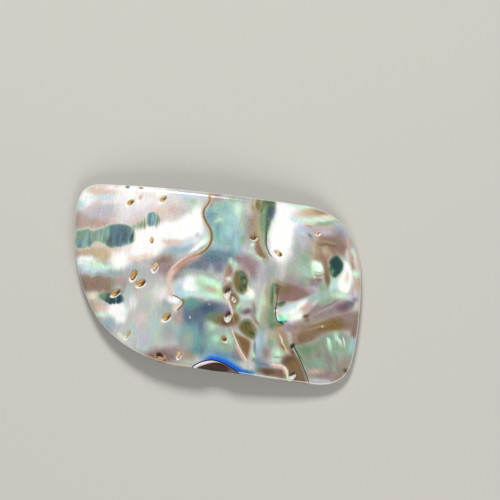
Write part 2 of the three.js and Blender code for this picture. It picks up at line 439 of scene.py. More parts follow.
# Here two points of the row above share one of the row below.
below = np.arange(count, count + len(low_rim))
even, odd, next_even = row_number[::2], row_number[1::2], np.roll(row_number[::2], -1)
next_below = np.roll(below, -1)
triangles = np.concatenate([
    np.stack([even, odd, below], -1),
    np.stack([odd, next_below, below], -1),
    np.stack([odd, next_even, next_below], -1),
])
points.append(low_rows[0])
row_number, count = add_rows(low_rows[1:-1], below, count + len(low_rim))
under_number = np.arange(count, count + under_sheet[..., 0].size).reshape(under_sheet.shape[:2])
squares.append(band_faces(row_number, loop_of(under_number)))
squares.append(sheet_faces(under_number)[:, ::-1])
points.append(under_sheet.reshape(-1, 3))
points = np.vstack(points)

shell_mesh = bpy.data.meshes.new("paua_shell")
shell_mesh.from_pydata(points * MM, [], [*np.vstack(squares).tolist(), *triangles.tolist()])
shell_mesh.update()
shell_mesh.shade_smooth()
shell_mesh.set_sharp_from_angle(angle=np.radians(CRISP_ANGLE))
shell = bpy.data.objects.new("paua_shell", shell_mesh)
bpy.context.scene.collection.objects.link(shell)

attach(shell, "root")
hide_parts("paua_shell_piece")

# The nacre.
# Thin aragonite layers that split light into mint, teal, rose, lilac and white, with brown horny
# layers and green scars between them. The polish is a hard, close gloss.
# Colours are how each place looks in even white light, 0 to 1, apart from the painted light and shade noted
# below.

COLOURS = {
    "white": (1.0, 1.0, 1.0),
    "pearl": (0.92, 0.92, 0.91),
    "silver": (0.77, 0.78, 0.77),
    "fog": (0.66, 0.70, 0.69),
    "ice": (0.80, 0.90, 0.92),
    "sky": (0.74, 0.81, 0.88),
    "mist_blue": (0.62, 0.73, 0.78),
    "aqua": (0.64, 0.82, 0.82),
    "bright_aqua": (0.60, 0.86, 0.95),
    "pale_mint": (0.82, 0.96, 0.86),
    "mint": (0.72, 0.91, 0.78),
    "bright_mint": (0.55, 0.95, 0.80),
    "lime": (0.80, 0.95, 0.68),
    "sea": (0.57, 0.73, 0.69),
    "sage": (0.60, 0.70, 0.60),
    "leaf": (0.50, 0.61, 0.49),
    "teal": (0.41, 0.63, 0.62),
    "lake": (0.45, 0.63, 0.70),
    "steel": (0.45, 0.56, 0.62),
    "storm": (0.40, 0.48, 0.57),
    "night": (0.27, 0.36, 0.50),
    "fern": (0.42, 0.54, 0.47),
    "deep_fern": (0.34, 0.45, 0.46),
    "pine": (0.17, 0.33, 0.32),
    "moss": (0.35, 0.43, 0.30),
    "olive": (0.48, 0.47, 0.24),
    "gold_brown": (0.55, 0.43, 0.24),
    "umber": (0.44, 0.34, 0.25),
    "line_brown": (0.46, 0.35, 0.20),
    "brown": (0.55, 0.44, 0.34),
    "warm_brown": (0.64, 0.51, 0.42),
    "tan": (0.68, 0.59, 0.48),
    "taupe": (0.63, 0.57, 0.51),
    "beige": (0.81, 0.72, 0.61),
    "cream": (0.93, 0.89, 0.78),
    "peach": (0.90, 0.80, 0.73),
    "salmon": (0.72, 0.55, 0.49),
    "rose": (0.82, 0.70, 0.67),
    "rose_brown": (0.60, 0.48, 0.45),
    "mauve": (0.62, 0.54, 0.55),
    "plum": (0.48, 0.38, 0.45),
    "lilac": (0.78, 0.77, 0.82),
    "violet": (0.57, 0.52, 0.66),
    "royal": (0.06, 0.38, 0.84),
    "azure": (0.22, 0.56, 0.80),
    "misty_peach": (0.87, 0.78, 0.73),
    "rose_cream": (0.94, 0.83, 0.79),
    "near_black": (0.07, 0.06, 0.06),
    "misty_rose": (0.85, 0.80, 0.79),
    "dusk_rose": (0.76, 0.66, 0.63),
    "pale_sea": (0.74, 0.81, 0.80),
    "lime_tan": (0.70, 0.69, 0.58),
    "sage_field": (0.56, 0.63, 0.54),
    "green_sliver": (0.38, 0.60, 0.40),
    "deep_moss": (0.27, 0.34, 0.20),
    "turquoise": (0.30, 0.95, 0.88),
    "pale_teal": (0.54, 0.74, 0.72),
    "storm_teal": (0.34, 0.49, 0.53),
    "storm_mauve": (0.50, 0.50, 0.58),
    "grey_fern": (0.53, 0.65, 0.61),
    "grey_mint": (0.66, 0.78, 0.71),
    "taupe_brown": (0.61, 0.52, 0.44),
    "dusk_violet": (0.62, 0.62, 0.70),
    "ink": (0.14, 0.29, 0.38),
    "dull_sea": (0.57, 0.68, 0.61),
    "silver_sage": (0.66, 0.70, 0.66),
}

# Scars, eyes, strips and wedges with a clear edge: how deep fine upright notches cut the lower edge,
# then points round the edge.
PATCHES = {
    "left_scar": (0.7, [
        (-25.1, 5.8), (-25.1, 6.6), (-24.4, 6.95), (-23.1, 7.25), (-22.4, 6.95), (-21.4, 7.2), (-20.4, 7.65),
        (-19.4, 8.2), (-18.2, 8.45), (-16.8, 8.5), (-15.4, 8.1), (-14.85, 7.2), (-14.7, 5.7), (-15.3, 4.95),
        (-16.2, 4.5), (-17.3, 4.2), (-18.7, 3.95), (-19.6, 4.4), (-20.6, 5.0), (-21.5, 4.95), (-22.1, 4.4),
        (-22.6, 3.8), (-23.4, 3.45), (-24.4, 3.5), (-25.0, 4.1), (-25.2, 5.0),
    ]),
    "small_scar": (0.15, [
        (-12.85, 10.6), (-12.4, 11.05), (-11.7, 11.1), (-11.35, 10.6), (-11.3, 9.6), (-11.4, 8.8),
        (-11.9, 8.45), (-12.6, 8.6), (-12.85, 9.3),
    ]),
    "low_scar": (0.5, [
        (-19.6, -4.5), (-18.8, -4.05), (-17.8, -3.9), (-16.6, -4.0), (-15.6, -4.2), (-15.35, -5.0),
        (-15.6, -5.6), (-16.4, -5.9), (-17.5, -5.95), (-18.3, -5.6), (-19.3, -5.0),
    ]),
    "upper_strip": (0.0, [
        (8.1, 15.5), (9.2, 15.3), (9.45, 14.1), (9.4, 13.0), (9.15, 12.0), (8.85, 11.2), (8.65, 10.2),
        (8.45, 9.1), (8.42, 7.9), (8.75, 6.6), (8.97, 5.85), (8.6, 6.1), (8.25, 7.0), (8.05, 8.1), (8.0, 9.3),
        (7.8, 10.6), (7.5, 11.5), (7.3, 12.3), (7.0, 13.2), (7.0, 14.2), (7.0, 15.5),
    ]),
    "white_field": (0.0, [
        (9.4, 15.6), (11.6, 15.6), (12.6, 14.6), (12.7, 13.4), (13.2, 12.2), (13.1, 11.0), (13.0, 9.6),
        (12.7, 8.0), (12.3, 6.6), (12.0, 5.2), (11.0, 4.3), (9.9, 4.6), (9.2, 5.8), (8.8, 7.0), (8.65, 8.4),
        (8.7, 10.0), (9.0, 11.4), (9.4, 12.8), (9.5, 14.2),
    ]),
    "moss_strip": (0.0, [
        (10.0, 0.35), (10.8, 0.75), (11.6, 0.75), (11.75, 0.3), (11.45, -0.1), (11.1, -0.8), (11.0, -1.9),
        (10.95, -3.0), (10.5, -3.6), (10.0, -2.9), (9.85, -1.5),
    ]),
    "upper_eye": (0.0, [
        (4.1, 2.1), (4.9, 1.95), (5.6, 1.2), (6.05, 0.25), (6.0, -0.6), (5.6, -1.4), (5.1, -1.9),
        (4.6, -1.75), (4.1, -1.4), (3.6, -0.75), (3.3, 0.1), (3.3, 1.0), (3.55, 1.75),
    ]),
    "lower_eye": (0.0, [
        (5.6, -6.8), (6.3, -6.35), (7.1, -6.45), (7.75, -7.2), (8.2, -8.0), (8.45, -8.8), (7.95, -9.45),
        (7.15, -9.5), (6.4, -9.1), (5.65, -8.5), (5.25, -7.7),
    ]),
    "brown_sail": (0.0, [
        (4.1, -8.5), (4.9, -8.9), (6.0, -9.4), (6.9, -9.8), (7.4, -10.25), (7.5, -11.1), (7.35, -12.0),
        (7.15, -12.75), (6.95, -13.15), (6.4, -12.4), (5.75, -11.5), (5.15, -10.5), (4.5, -9.4),
    ]),
    "right_eye": (0.35, [
        (20.8, 7.0), (21.5, 6.5), (22.05, 5.6), (22.0, 4.4), (21.5, 3.55), (20.9, 2.85), (20.35, 2.95),
        (19.85, 3.55), (19.6, 4.3), (19.7, 4.9), (19.45, 5.6), (19.85, 6.45),
    ]),
    "white_flare": (0.0, [
        (22.35, 6.0), (23.05, 5.9), (23.6, 4.6), (23.9, 2.8), (23.5, 1.05), (22.8, 0.3), (22.1, 0.6),
        (21.55, 1.8), (21.55, 2.9), (22.1, 4.1),
    ]),
    "mint_block": (0.0, [
        (16.5, 5.3), (17.5, 5.45), (18.2, 5.2), (18.6, 4.2), (18.7, 3.5), (18.0, 3.35), (17.2, 3.5),
        (16.9, 3.0), (16.6, 3.9),
    ]),
    "brown_pane": (0.0, [
        (11.2, 0.5), (12.6, 0.9), (14.2, 0.7), (15.8, 0.1), (16.8, -0.7), (15.4, -1.6), (13.9, -2.3),
        (12.6, -2.6), (11.4, -2.45), (11.2, -1.0),
    ]),
    "pale_wedge": (0.0, [
        (11.3, -4.3), (12.3, -3.7), (13.4, -3.0), (15.0, -2.1), (16.6, -1.0), (18.4, -0.1), (18.4, -1.6),
        (17.4, -3.5), (16.2, -4.7), (14.6, -5.8), (13.2, -6.1), (12.2, -6.15), (11.7, -5.8), (11.35, -5.0),
    ]),
    "brown_band": (0.0, [
        (14.6, -8.0), (16.2, -6.6), (18.6, -5.5), (21.0, -4.1), (23.4, -3.1), (25.9, -2.6), (25.9, -6.6),
        (24.2, -6.0), (21.6, -6.6), (19.4, -7.7), (17.2, -9.2), (15.2, -9.7),
    ]),
    "green_field": (0.0, [
        (15.2, -9.8), (17.2, -9.2), (19.4, -7.7), (21.6, -6.6), (23.6, -6.4), (25.0, -8.2), (25.0, -11.5),
        (23.6, -14.0), (20.6, -14.3), (18.0, -14.8), (16.4, -12.2),
    ]),
    "brown_knot": (0.0, [
        (13.6, -11.9), (14.6, -11.6), (15.8, -11.9), (16.6, -13.2), (17.4, -14.8), (17.9, -16.2),
        (15.6, -16.2), (14.4, -15.2), (14.2, -14.2), (13.6, -13.6), (13.0, -13.0),
    ]),
}

# Flushes of colour, laid over one another in this order: colour, centre x, y, half length, half width,
# turn of the length in degrees, how soft the edge is, from 0 for crisp to 1, and for some the patch that
# they stay within. A row that names a patch second fills it: colour, patch, how far in, and softness.
# The white flushes are partly painted sheen, the glare off the nacre's layers, over its own pale lustre.
FLUSHES = [
    # Upper left corner
    ("pearl", -17.0, 13.2, 9.0, 3.4, 0, 0.7),
    ("misty_rose", -17.5, 11.6, 7.6, 2.6, 0, 0.6),
    ("white", -24.0, 12.9, 1.9, 2.2, 20, 0.5),
    ("ice", -24.9, 11.3, 0.8, 1.2, 0, 0.7),
    ("peach", -21.4, 14.5, 2.8, 0.8, 0, 0.5),
    ("misty_rose", -20.6, 14.0, 1.8, 0.5, 0, 1.0),
    ("pearl", -20.2, 12.4, 2.8, 0.7, 0, 1.0),
    ("ice", -20.6, 13.3, 2.4, 0.4, 3, 1.0),
    ("silver", -18.9, 11.3, 3.4, 0.9, 0, 0.9),
    ("lilac", -21.6, 10.7, 1.8, 0.6, 0, 1.0),
    ("dusk_rose", -21.8, 8.8, 4.0, 1.3, 10, 0.6),
    ("lilac", -22.2, 9.9, 1.8, 0.7, 8, 0.9),
    ("misty_rose", -22.9, 11.0, 1.6, 0.5, 50, 1.0),
    ("dusk_rose", -24.5, 8.4, 1.0, 1.5, 0, 0.6),
    ("misty_rose", -17.2, 9.5, 3.0, 0.8, 0, 0.8),
    ("misty_peach", -14.4, 9.3, 1.1, 0.6, 0, 1.0),
    ("white", -14.5, 15.1, 5.5, 0.6, 0, 0.8),
    ("pearl", -13.4, 12.6, 2.4, 1.6, 0, 0.9),
    ("white", -16.8, 13.3, 1.8, 1.7, 0, 1.0),
    ("pearl", -16.8, 10.9, 1.6, 1.6, 0, 1.0),
    ("misty_peach", -9.8, 11.4, 2.2, 0.8, -8, 1.0),
    ("fern", -16.9, 15.2, 0.35, 0.3, 0, 0.9),
    ("gold_brown", -14.6, 15.3, 0.3, 0.2, 0, 0.8),
    # Between the corner and the growth line
    ("sky", -6.3, 14.9, 2.3, 0.8, 0, 0.7),
    ("sage", -5.2, 13.7, 1.3, 0.6, 0, 0.9),
    ("silver", -6.6, 12.9, 2.2, 1.2, 0, 0.8),
    ("misty_rose", -8.2, 12.6, 1.3, 1.6, 0, 1.0),
    ("rose", -8.0, 11.9, 0.9, 0.9, 0, 1.0),
    ("misty_rose", -8.6, 10.0, 1.6, 0.7, 0, 1.0),
    ("silver", -6.8, 11.2, 1.0, 1.0, 0, 1.0),
    ("lilac", -3.8, 14.8, 0.9, 0.6, 0, 0.8),
    ("white", -12.4, 5.6, 3.2, 2.5, 12, 0.45),
    ("white", -8.4, 7.9, 4.8, 1.8, 12, 0.45),
    ("white", -4.1, 9.6, 1.2, 3.7, -4, 0.5),
    ("white", -6.0, 9.6, 2.6, 1.3, 48, 0.6),
    ("lilac", -3.9, 7.4, 0.45, 0.5, 0, 1.0),
    ("peach", -7.3, 6.2, 1.2, 0.5, 0, 1.0),
    ("misty_peach", -9.0, 6.1, 0.9, 0.5, 0, 1.0),
    ("ice", -5.2, 6.0, 1.8, 0.8, 22, 1.0),
    ("mist_blue", -7.0, 4.8, 2.6, 0.7, 12, 0.9),
    ("fog", -8.6, 3.9, 1.6, 0.5, 8, 0.9),
    ("rose_brown", -9.2, 2.7, 2.2, 0.8, 12, 0.8),
    ("mauve", -8.9, 1.2, 2.0, 1.1, 14, 0.8),
    ("taupe", -7.0, 0.4, 1.4, 0.9, 30, 1.0),
    ("silver", -12.6, 2.3, 1.6, 0.8, 20, 1.0),
    ("ice", -2.4, 7.2, 0.45, 1.9, -6, 0.7),
    ("white", -3.4, 5.6, 0.4, 1.7, -38, 0.6),
    # Upper green scar and its outliers
    ("misty_rose", -20.2, 3.7, 3.8, 1.1, -3, 0.6),
    ("dusk_rose", -23.2, 2.7, 1.9, 0.6, 0, 0.8),
    ("beige", -20.9, 2.6, 3.2, 0.9, -4, 0.7),
    ("rose", -17.2, 3.9, 2.2, 0.6, 4, 0.8),
    ("cream", "left_scar", -0.2, 0.35),
    ("grey_fern", "left_scar", 0.0, 0.32),
    ("lake", -24.3, 4.5, 0.7, 0.8, 0, 0.8, "left_scar"),
    ("lake", -22.8, 6.1, 0.4, 0.9, 0, 1.0, "left_scar"),
    ("sage", -23.5, 5.5, 0.25, 1.6, 0, 0.8, "left_scar"),
    ("sage", -22.2, 6.0, 0.22, 1.0, 0, 0.9, "left_scar"),
    ("steel", -22.5, 4.7, 0.3, 0.9, 0, 0.8, "left_scar"),
    ("sage", -24.9, 5.6, 0.3, 1.2, 0, 0.8, "left_scar"),
    ("sage", -20.3, 6.3, 0.35, 1.0, -30, 0.9, "left_scar"),
    ("storm_teal", -17.4, 6.5, 2.3, 2.4, 0, 0.5, "left_scar"),
    ("deep_fern", -16.2, 6.2, 0.4, 1.4, 0, 1.0, "left_scar"),
    ("steel", -18.6, 6.6, 0.14, 1.6, 0, 1.0, "left_scar"),
    ("steel", -17.0, 5.7, 0.14, 1.2, 0, 1.0, "left_scar"),
    ("deep_fern", -18.9, 5.3, 0.5, 1.0, 0, 0.8, "left_scar"),
    ("sea", -19.7, 6.8, 0.5, 1.0, 0, 0.9, "left_scar"),
    ("pine", -15.1, 6.0, 0.25, 1.4, -10, 0.6, "left_scar"),
    ("cream", "small_scar", -0.15, 0.25),
    ("teal", "small_scar", 0.0, 0.12),
    ("lake", -12.1, 9.6, 0.5, 1.2, 0, 0.6, "small_scar"),
    ("steel", -12.2, 9.5, 0.2, 1.1, 0, 0.8, "small_scar"),
    ("sage", -10.95, 9.7, 0.32, 1.3, 0, 0.6),
    ("fern", -10.85, 9.7, 0.15, 1.1, 0, 0.6),
    ("leaf", -10.5, 9.5, 0.1, 0.7, 0, 0.8),
    ("sage", -13.7, 8.6, 0.7, 0.7, 0, 0.9),
    ("moss", -13.15, 8.9, 0.1, 1.1, 4, 0.6),
    ("leaf", -13.75, 8.7, 0.1, 0.6, 0, 0.9),
    ("sage", -15.05, 7.8, 0.12, 0.9, 0, 0.7),
    ("leaf", -14.7, 8.0, 0.1, 0.6, 0, 0.9),
    # Left edge, white and mint below the scar
    ("white", -23.0, 1.2, 1.9, 0.9, 8, 0.5),
    ("white", -16.7, 2.0, 1.8, 1.6, 0, 0.6),
    ("white", -13.2, 4.3, 3.2, 1.2, 12, 0.7),
    ("cream", -13.2, 3.0, 1.8, 0.5, 15, 1.0),
    ("ice", -20.8, -0.1, 3.4, 0.8, 0, 0.6),
    ("pale_mint", -20.4, 0.9, 3.2, 0.4, -3, 0.6),
    ("fog", -19.4, -0.7, 2.6, 0.5, 0, 0.9),
    ("fog", -17.0, -0.2, 2.0, 0.7, 0, 0.9),
    ("taupe", -19.6, -1.7, 3.9, 0.7, 0, 0.5),
    ("taupe_brown", -20.4, -2.6, 3.9, 1.2, 0, 0.5),
    ("taupe_brown", -19.8, -3.3, 3.4, 0.8, 0, 0.9),
    ("taupe", -15.4, -2.8, 0.9, 1.2, 0, 0.9),
    ("taupe", -16.8, -2.2, 1.4, 0.9, 0, 0.8),
    ("dusk_rose", -16.2, -1.6, 1.1, 0.6, 0, 1.0),
    ("silver", -16.6, -2.9, 0.8, 0.6, 0, 1.0),
    ("fog", -13.6, -1.2, 1.4, 1.6, 0, 1.0),
    ("fog", -11.6, -0.6, 1.4, 1.2, 0, 1.0),
    # Lower left field
    ("cream", -20.8, -4.9, 1.6, 0.6, 0, 0.7),
    ("beige", -20.2, -6.4, 1.3, 1.0, 0, 0.6),
    ("peach", -18.4, -6.8, 1.6, 0.8, 0, 0.9),
    ("white", -16.2, -6.9, 1.5, 1.8, 0, 0.5),
    ("white", -15.6, -8.4, 0.9, 0.9, 0, 0.8),
    ("pearl", -13.9, -4.9, 1.1, 1.3, 0, 0.9),
    ("white", -13.35, -5.2, 0.2, 1.1, 0, 1.0),
    ("white", -14.2, -5.2, 0.16, 0.9, 0, 1.0),
    ("white", -13.8, -4.7, 0.1, 0.9, 0, 0.7),
    ("pale_mint", -18.9, -7.6, 1.8, 0.4, 0, 0.8),
    ("sage", -19.4, -4.6, 0.9, 0.55, 0, 0.8),
    ("fern", "low_scar", 0.0, 0.2),
    ("pine", -17.0, -4.95, 1.5, 1.1, 0, 0.3, "low_scar"),
    ("leaf", -18.9, -4.6, 0.5, 0.4, 0, 0.9, "low_scar"),
    ("deep_fern", -17.9, -4.7, 0.2, 0.7, 0, 0.8, "low_scar"),
    ("ink", -16.3, -4.9, 0.6, 0.6, 0, 0.8, "low_scar"),
    ("steel", -16.6, -5.0, 0.15, 0.4, 0, 0.9, "low_scar"),
    ("leaf", -15.3, -4.95, 0.12, 0.5, 0, 0.6),
    ("mist_blue", -17.2, -9.0, 1.1, 1.0, -40, 0.8),
    ("lilac", -15.4, -9.9, 1.4, 0.8, -35, 0.9),
    ("pearl", -14.4, -12.0, 2.4, 0.6, -30, 0.7),
    ("silver", -11.4, -3.2, 2.2, 3.4, 0, 0.9),
    ("fog", -8.4, -3.6, 1.0, 1.6, 0, 1.0),
    ("misty_rose", -12.2, -8.2, 1.3, 1.4, 0, 1.0),
    ("pale_sea", -13.2, -10.4, 0.8, 1.4, 0, 1.0),
    ("lilac", -11.2, -11.2, 1.4, 1.0, 0, 1.0),
    ("pale_sea", -9.4, -8.9, 0.7, 2.4, 0, 1.0),
    ("pale_sea", -14.8, -3.9, 0.6, 1.6, 0, 1.0),
    ("misty_rose", -9.2, -3.1, 1.2, 0.8, 0, 1.0),
    ("fog", -7.9, -5.8, 1.2, 0.9, 0, 0.9),
    ("silver", -8.2, -4.2, 1.6, 1.5, 0, 1.0),
    ("fog", -6.7, -9.8, 1.0, 2.4, 0, 1.0),
    ("silver", -8.3, -12.0, 2.0, 0.8, 0, 0.8),
    ("pale_sea", -9.9, -12.9, 1.6, 0.6, -12, 1.0),
    ("mauve", -6.4, -13.7, 3.5, 1.3, 2, 0.5),
    ("brown", -7.6, -14.0, 1.8, 0.7, 0, 0.8),
    ("dusk_rose", -7.4, -14.3, 1.2, 0.78, -35, 0.2),
    ("brown", -7.4, -14.3, 1.02, 0.62, -35, 0.25),
    ("dusk_rose", -3.9, -11.3, 0.9, 0.7, 0, 0.9),
    ("dusk_rose", -4.0, -13.0, 0.9, 1.5, 0, 0.9),
    ("tan", -2.9, -13.4, 0.8, 1.1, 0, 0.9),
    # Under the bend of the growth line
    ("steel", -1.0, 4.6, 1.6, 1.2, 0, 0.7),
    ("storm", -2.9, 2.2, 1.2, 1.0, 0, 0.7),
    ("storm", -0.4, 3.4, 2.2, 1.0, 0, 0.7),
    ("storm_mauve", -1.6, 2.2, 0.5, 0.8, 0, 1.0),
    ("storm_mauve", 0.4, 2.2, 0.9, 0.7, 0, 1.0),
    ("mauve", -6.0, 1.2, 1.3, 0.9, 40, 0.8),
    ("rose_brown", -5.6, 1.9, 1.4, 0.5, 40, 0.8),
    ("storm_mauve", -4.2, 1.4, 1.8, 0.6, 20, 1.0),
    ("fog", -4.4, 0.8, 1.8, 0.6, 0, 0.9),
    ("fog", -0.4, 0.9, 2.0, 0.5, 0, 0.9),
    ("ice", -5.4, -1.4, 1.3, 1.5, 0, 0.7),
    ("sky", -6.0, -2.4, 0.8, 0.8, 0, 0.9),
    ("white", -3.9, -1.5, 1.4, 1.7, 0, 0.5),
    ("mint", -0.4, -1.3, 2.4, 1.6, -8, 0.6),
    ("pale_mint", -0.8, -0.1, 1.6, 0.5, -8, 0.8),
    ("beige", -0.3, -1.4, 1.4, 0.5, -6, 1.0),
    ("pale_mint", 0.0, -2.6, 2.4, 0.4, 3, 0.6),
    ("lime", 1.2, -1.9, 0.6, 0.9, 20, 0.9),
    ("pale_mint", 0.9, -0.8, 0.9, 0.4, 0, 1.0),
    ("silver", 0.9, 0.7, 0.9, 0.5, 0, 0.8),
    ("bright_aqua", -5.5, -3.1, 1.0, 0.4, -6, 0.9),
    ("ice", -3.4, -3.1, 2.2, 0.5, -4, 1.0),
    ("cream", -7.5, -2.9, 0.9, 0.8, 0, 1.0),
    ("pearl", -8.6, -3.4, 1.5, 1.4, 0, 1.0),
    ("fog", -7.2, -4.9, 1.4, 0.8, 0, 0.9),
    ("white", -6.5, -4.2, 1.1, 0.6, -14, 0.7),
    ("white", -5.9, -4.4, 0.6, 0.5, -20, 0.6),
    ("cream", -6.0, -5.5, 0.4, 0.5, 0, 0.9),
    ("dusk_rose", -5.8, -6.9, 0.6, 0.9, 0, 0.9),
    # Dark blue heart of the piece
    ("steel", -3.2, -6.6, 2.0, 2.3, 0, 0.5),
    ("storm", -0.6, -5.5, 3.2, 1.6, 0, 0.5),
    ("lake", -2.9, -9.4, 2.0, 2.3, 0, 1.0),
    ("lake", -1.7, -11.2, 2.0, 1.6, -10, 1.0),
    ("teal", -1.4, -12.3, 1.3, 1.2, 0, 0.8),
    ("teal", -3.3, -4.7, 1.7, 0.8, -8, 0.6),
    ("storm_mauve", 0.9, -4.6, 2.4, 0.9, -4, 0.9),
    ("storm", 1.2, -6.0, 1.5, 0.6, 0, 1.0),
    ("night", -1.0, -5.4, 1.7, 0.9, 28, 1.0),
    ("storm", -3.2, -6.6, 1.7, 1.0, 10, 1.0),
    ("storm", -1.2, -8.2, 0.7, 1.8, 0, 1.0),
    ("storm", -0.6, -11.2, 0.4, 1.8, -8, 1.0),
    ("silver_sage", -3.5, -11.0, 0.9, 1.5, 0, 1.0),
    ("dusk_rose", -5.2, -7.1, 0.6, 1.0, 0, 1.0),
    ("fern", 0.6, -6.9, 1.2, 0.9, 0, 0.8),
    ("leaf", 1.8, -6.9, 1.0, 0.9, 0, 0.9),
    ("fog", 0.4, -9.2, 1.2, 0.9, 0, 0.9),
    ("mint", 0.85, -8.5, 0.65, 0.75, 0, 0.8),
    ("brown", 3.1, -7.1, 1.9, 1.15, 0, 0.8),
    ("umber", 2.9, -7.4, 1.0, 0.6, 0, 0.9),
    ("gold_brown", 4.3, -6.5, 1.0, 0.9, 0, 0.7),
    ("fog", 2.6, -8.8, 1.3, 0.5, 0, 0.8),
    ("sea", 1.6, -11.0, 2.6, 1.6, 0, 0.7),
    ("sage", 3.6, -10.9, 1.5, 1.5, 0, 0.8),
    ("mint", 1.4, -10.4, 0.7, 0.6, 0, 1.0),
    ("mint", 3.9, -10.2, 0.4, 1.2, 30, 0.9),
    ("lake", 2.6, -12.7, 2.4, 0.6, -6, 0.8),
    ("steel", 5.6, -12.9, 1.2, 0.8, 0, 0.9),
    ("mauve", 5.6, -12.4, 0.5, 1.0, 35, 0.9),
    # Sea green field right of the growth line
    ("sea", -0.3, 11.6, 2.6, 3.8, 0, 0.4),
    ("mauve", -1.4, 14.7, 0.8, 0.9, 0, 0.8),
    ("lilac", -0.2, 15.0, 1.1, 0.6, 0, 0.9),
    ("sage", -0.9, 13.8, 1.2, 0.9, 0, 0.8),
    ("sage", 2.1, 14.7, 1.1, 0.6, 0, 0.8),
    ("fog", 3.9, 14.8, 1.4, 0.6, 0, 0.8),
    ("mauve", -1.1, 14.8, 0.9, 0.8, 0, 0.8),
    ("rose_brown", -2.15, 13.6, 0.45, 0.7, 0, 0.9),
    ("tan", -2.0, 14.8, 0.4, 0.9, -8, 0.8),
    ("aqua", 1.9, 11.0, 1.9, 2.4, 0, 0.8),
    ("lake", -1.9, 11.4, 0.7, 1.3, 12, 0.7),
    ("pale_teal", 0.2, 12.8, 1.8, 0.9, 0, 1.0),
    ("mint", -0.5, 10.3, 0.7, 0.6, 0, 0.9),
    ("pale_mint", -0.6, 10.2, 0.45, 0.5, 0, 0.9),
    ("pale_mint", 3.2, 13.0, 1.0, 1.1, 24, 1.0),
    ("sea", 0.6, 8.2, 1.8, 1.6, 0, 0.7),
    ("pale_teal", 0.3, 8.6, 1.6, 1.5, 0, 1.0),
    ("mint", 3.9, 10.6, 0.5, 2.0, 0, 0.9),
    ("lake", -0.7, 9.2, 0.5, 0.9, 0, 0.9),
    ("aqua", 1.7, 9.0, 1.5, 1.5, 0, 1.0),
    ("mist_blue", 3.1, 7.6, 1.1, 2.2, 12, 0.7),
    ("lake", 2.9, 6.6, 0.7, 1.6, 0, 1.0),
    ("aqua", 3.2, 7.0, 0.6, 1.4, 0, 1.0),
    ("sea", 1.4, 6.9, 1.1, 0.7, 0, 0.8),
    ("mist_blue", -0.2, 5.9, 1.2, 0.6, 0, 0.8),
    ("steel", 1.7, 4.6, 1.9, 1.0, 0, 0.8),
    ("mist_blue", 3.9, 5.3, 1.1, 0.9, 0, 0.8),
    ("lilac", 5.2, 4.8, 0.7, 1.6, 25, 0.9),
    ("silver_sage", 5.0, 11.0, 1.3, 3.0, 4, 0.8),
    ("taupe", 5.6, 10.4, 0.8, 2.2, 8, 1.0),
    ("silver", 5.0, 13.4, 0.8, 1.0, 0, 1.0),
    ("sage", 4.4, 8.0, 0.5, 0.9, 0, 0.8),
    ("tan", 6.6, 10.9, 0.7, 2.6, 12, 0.7),
    ("lime_tan", 7.4, 9.4, 0.5, 2.6, 8, 0.8),
    ("mint", 5.7, 5.7, 0.6, 0.4, 0, 0.7),
    ("pale_mint", 6.15, 6.9, 0.3, 0.3, 0, 0.8),
    ("warm_brown", 7.0, 7.2, 2.2, 0.5, -76, 0.6),
    ("brown", 7.9, 5.3, 1.3, 0.7, -60, 0.8),
    ("lime_tan", 7.9, 7.0, 0.3, 1.4, 12, 0.8),
    ("tan", 5.7, 14.2, 1.2, 0.35, -80, 0.7),
    ("beige", 5.7, 14.7, 0.6, 0.2, -80, 0.8),
    ("mint", 7.3, 4.7, 0.9, 0.3, -10, 1.0),
    # Dark green strip in the upper edge
    ("olive", 6.6, 14.3, 1.2, 0.5, -80, 0.6),
    ("gold_brown", 6.2, 14.6, 0.7, 0.2, -80, 0.8),
    ("leaf", 7.5, 12.2, 3.2, 0.6, -82, 0.8),
    ("leaf", "upper_strip", 0.0, 0.18),
    ("moss", 8.2, 14.9, 1.3, 0.45, 0, 0.7, "upper_strip"),
    ("pine", 8.7, 13.2, 1.3, 0.7, -86, 0.7, "upper_strip"),
    ("night", 8.9, 13.1, 0.9, 0.3, -86, 0.9, "upper_strip"),
    ("deep_fern", 8.4, 11.4, 1.2, 0.35, -80, 0.8, "upper_strip"),
    ("moss", 8.2, 9.2, 3.6, 0.24, -88, 0.7, "upper_strip"),
    ("sage", 7.55, 13.3, 0.14, 0.4, 8, 0.8),
    ("moss", 7.2, 13.4, 0.14, 0.45, 8, 0.8),
    ("olive", 7.4, 14.5, 0.3, 0.6, 0, 0.9),
    # White field and upper right corner
    ("mauve", 13.8, 7.8, 1.8, 2.4, 0, 0.8),
    ("silver_sage", 14.4, 5.6, 2.2, 3.2, 0, 0.8),
    ("mauve", 13.4, 2.4, 0.9, 1.0, 0, 1.0),
    ("lilac", 13.9, 8.0, 0.9, 1.4, 0, 1.0),
    ("lilac", 8.9, 7.6, 0.4, 2.0, 0, 0.9),
    ("white", 12.0, 9.6, 2.0, 5.4, 0, 1.0),
    ("white", "white_field", 0.2, 0.8),
    ("white", 13.0, 12.6, 1.3, 1.6, 0, 1.0),
    ("fog", 13.8, 6.6, 0.8, 2.4, 0, 1.0),
    ("silver_sage", 13.4, 3.4, 1.0, 1.2, 0, 1.0),
    ("ice", 13.4, 12.8, 1.2, 0.9, 0, 0.7),
    ("sky", 14.3, 10.0, 0.9, 1.4, 0, 1.0),
    ("silver", 15.3, 8.9, 0.8, 0.7, 0, 1.0),
    ("steel", 15.8, 9.7, 0.5, 0.25, -45, 0.9),
    ("pale_mint", 14.0, 15.1, 2.8, 0.4, -2, 0.6),
    ("cream", 18.3, 15.0, 1.6, 0.5, -12, 0.7),
    ("peach", 14.6, 13.8, 1.8, 0.5, 4, 0.7),
    ("beige", 16.4, 14.1, 2.6, 0.65, -3, 0.5),
    ("tan", 17.6, 14.3, 1.4, 0.45, -10, 0.8),
    ("pale_mint", 16.4, 12.9, 3.4, 0.45, 6, 0.6),
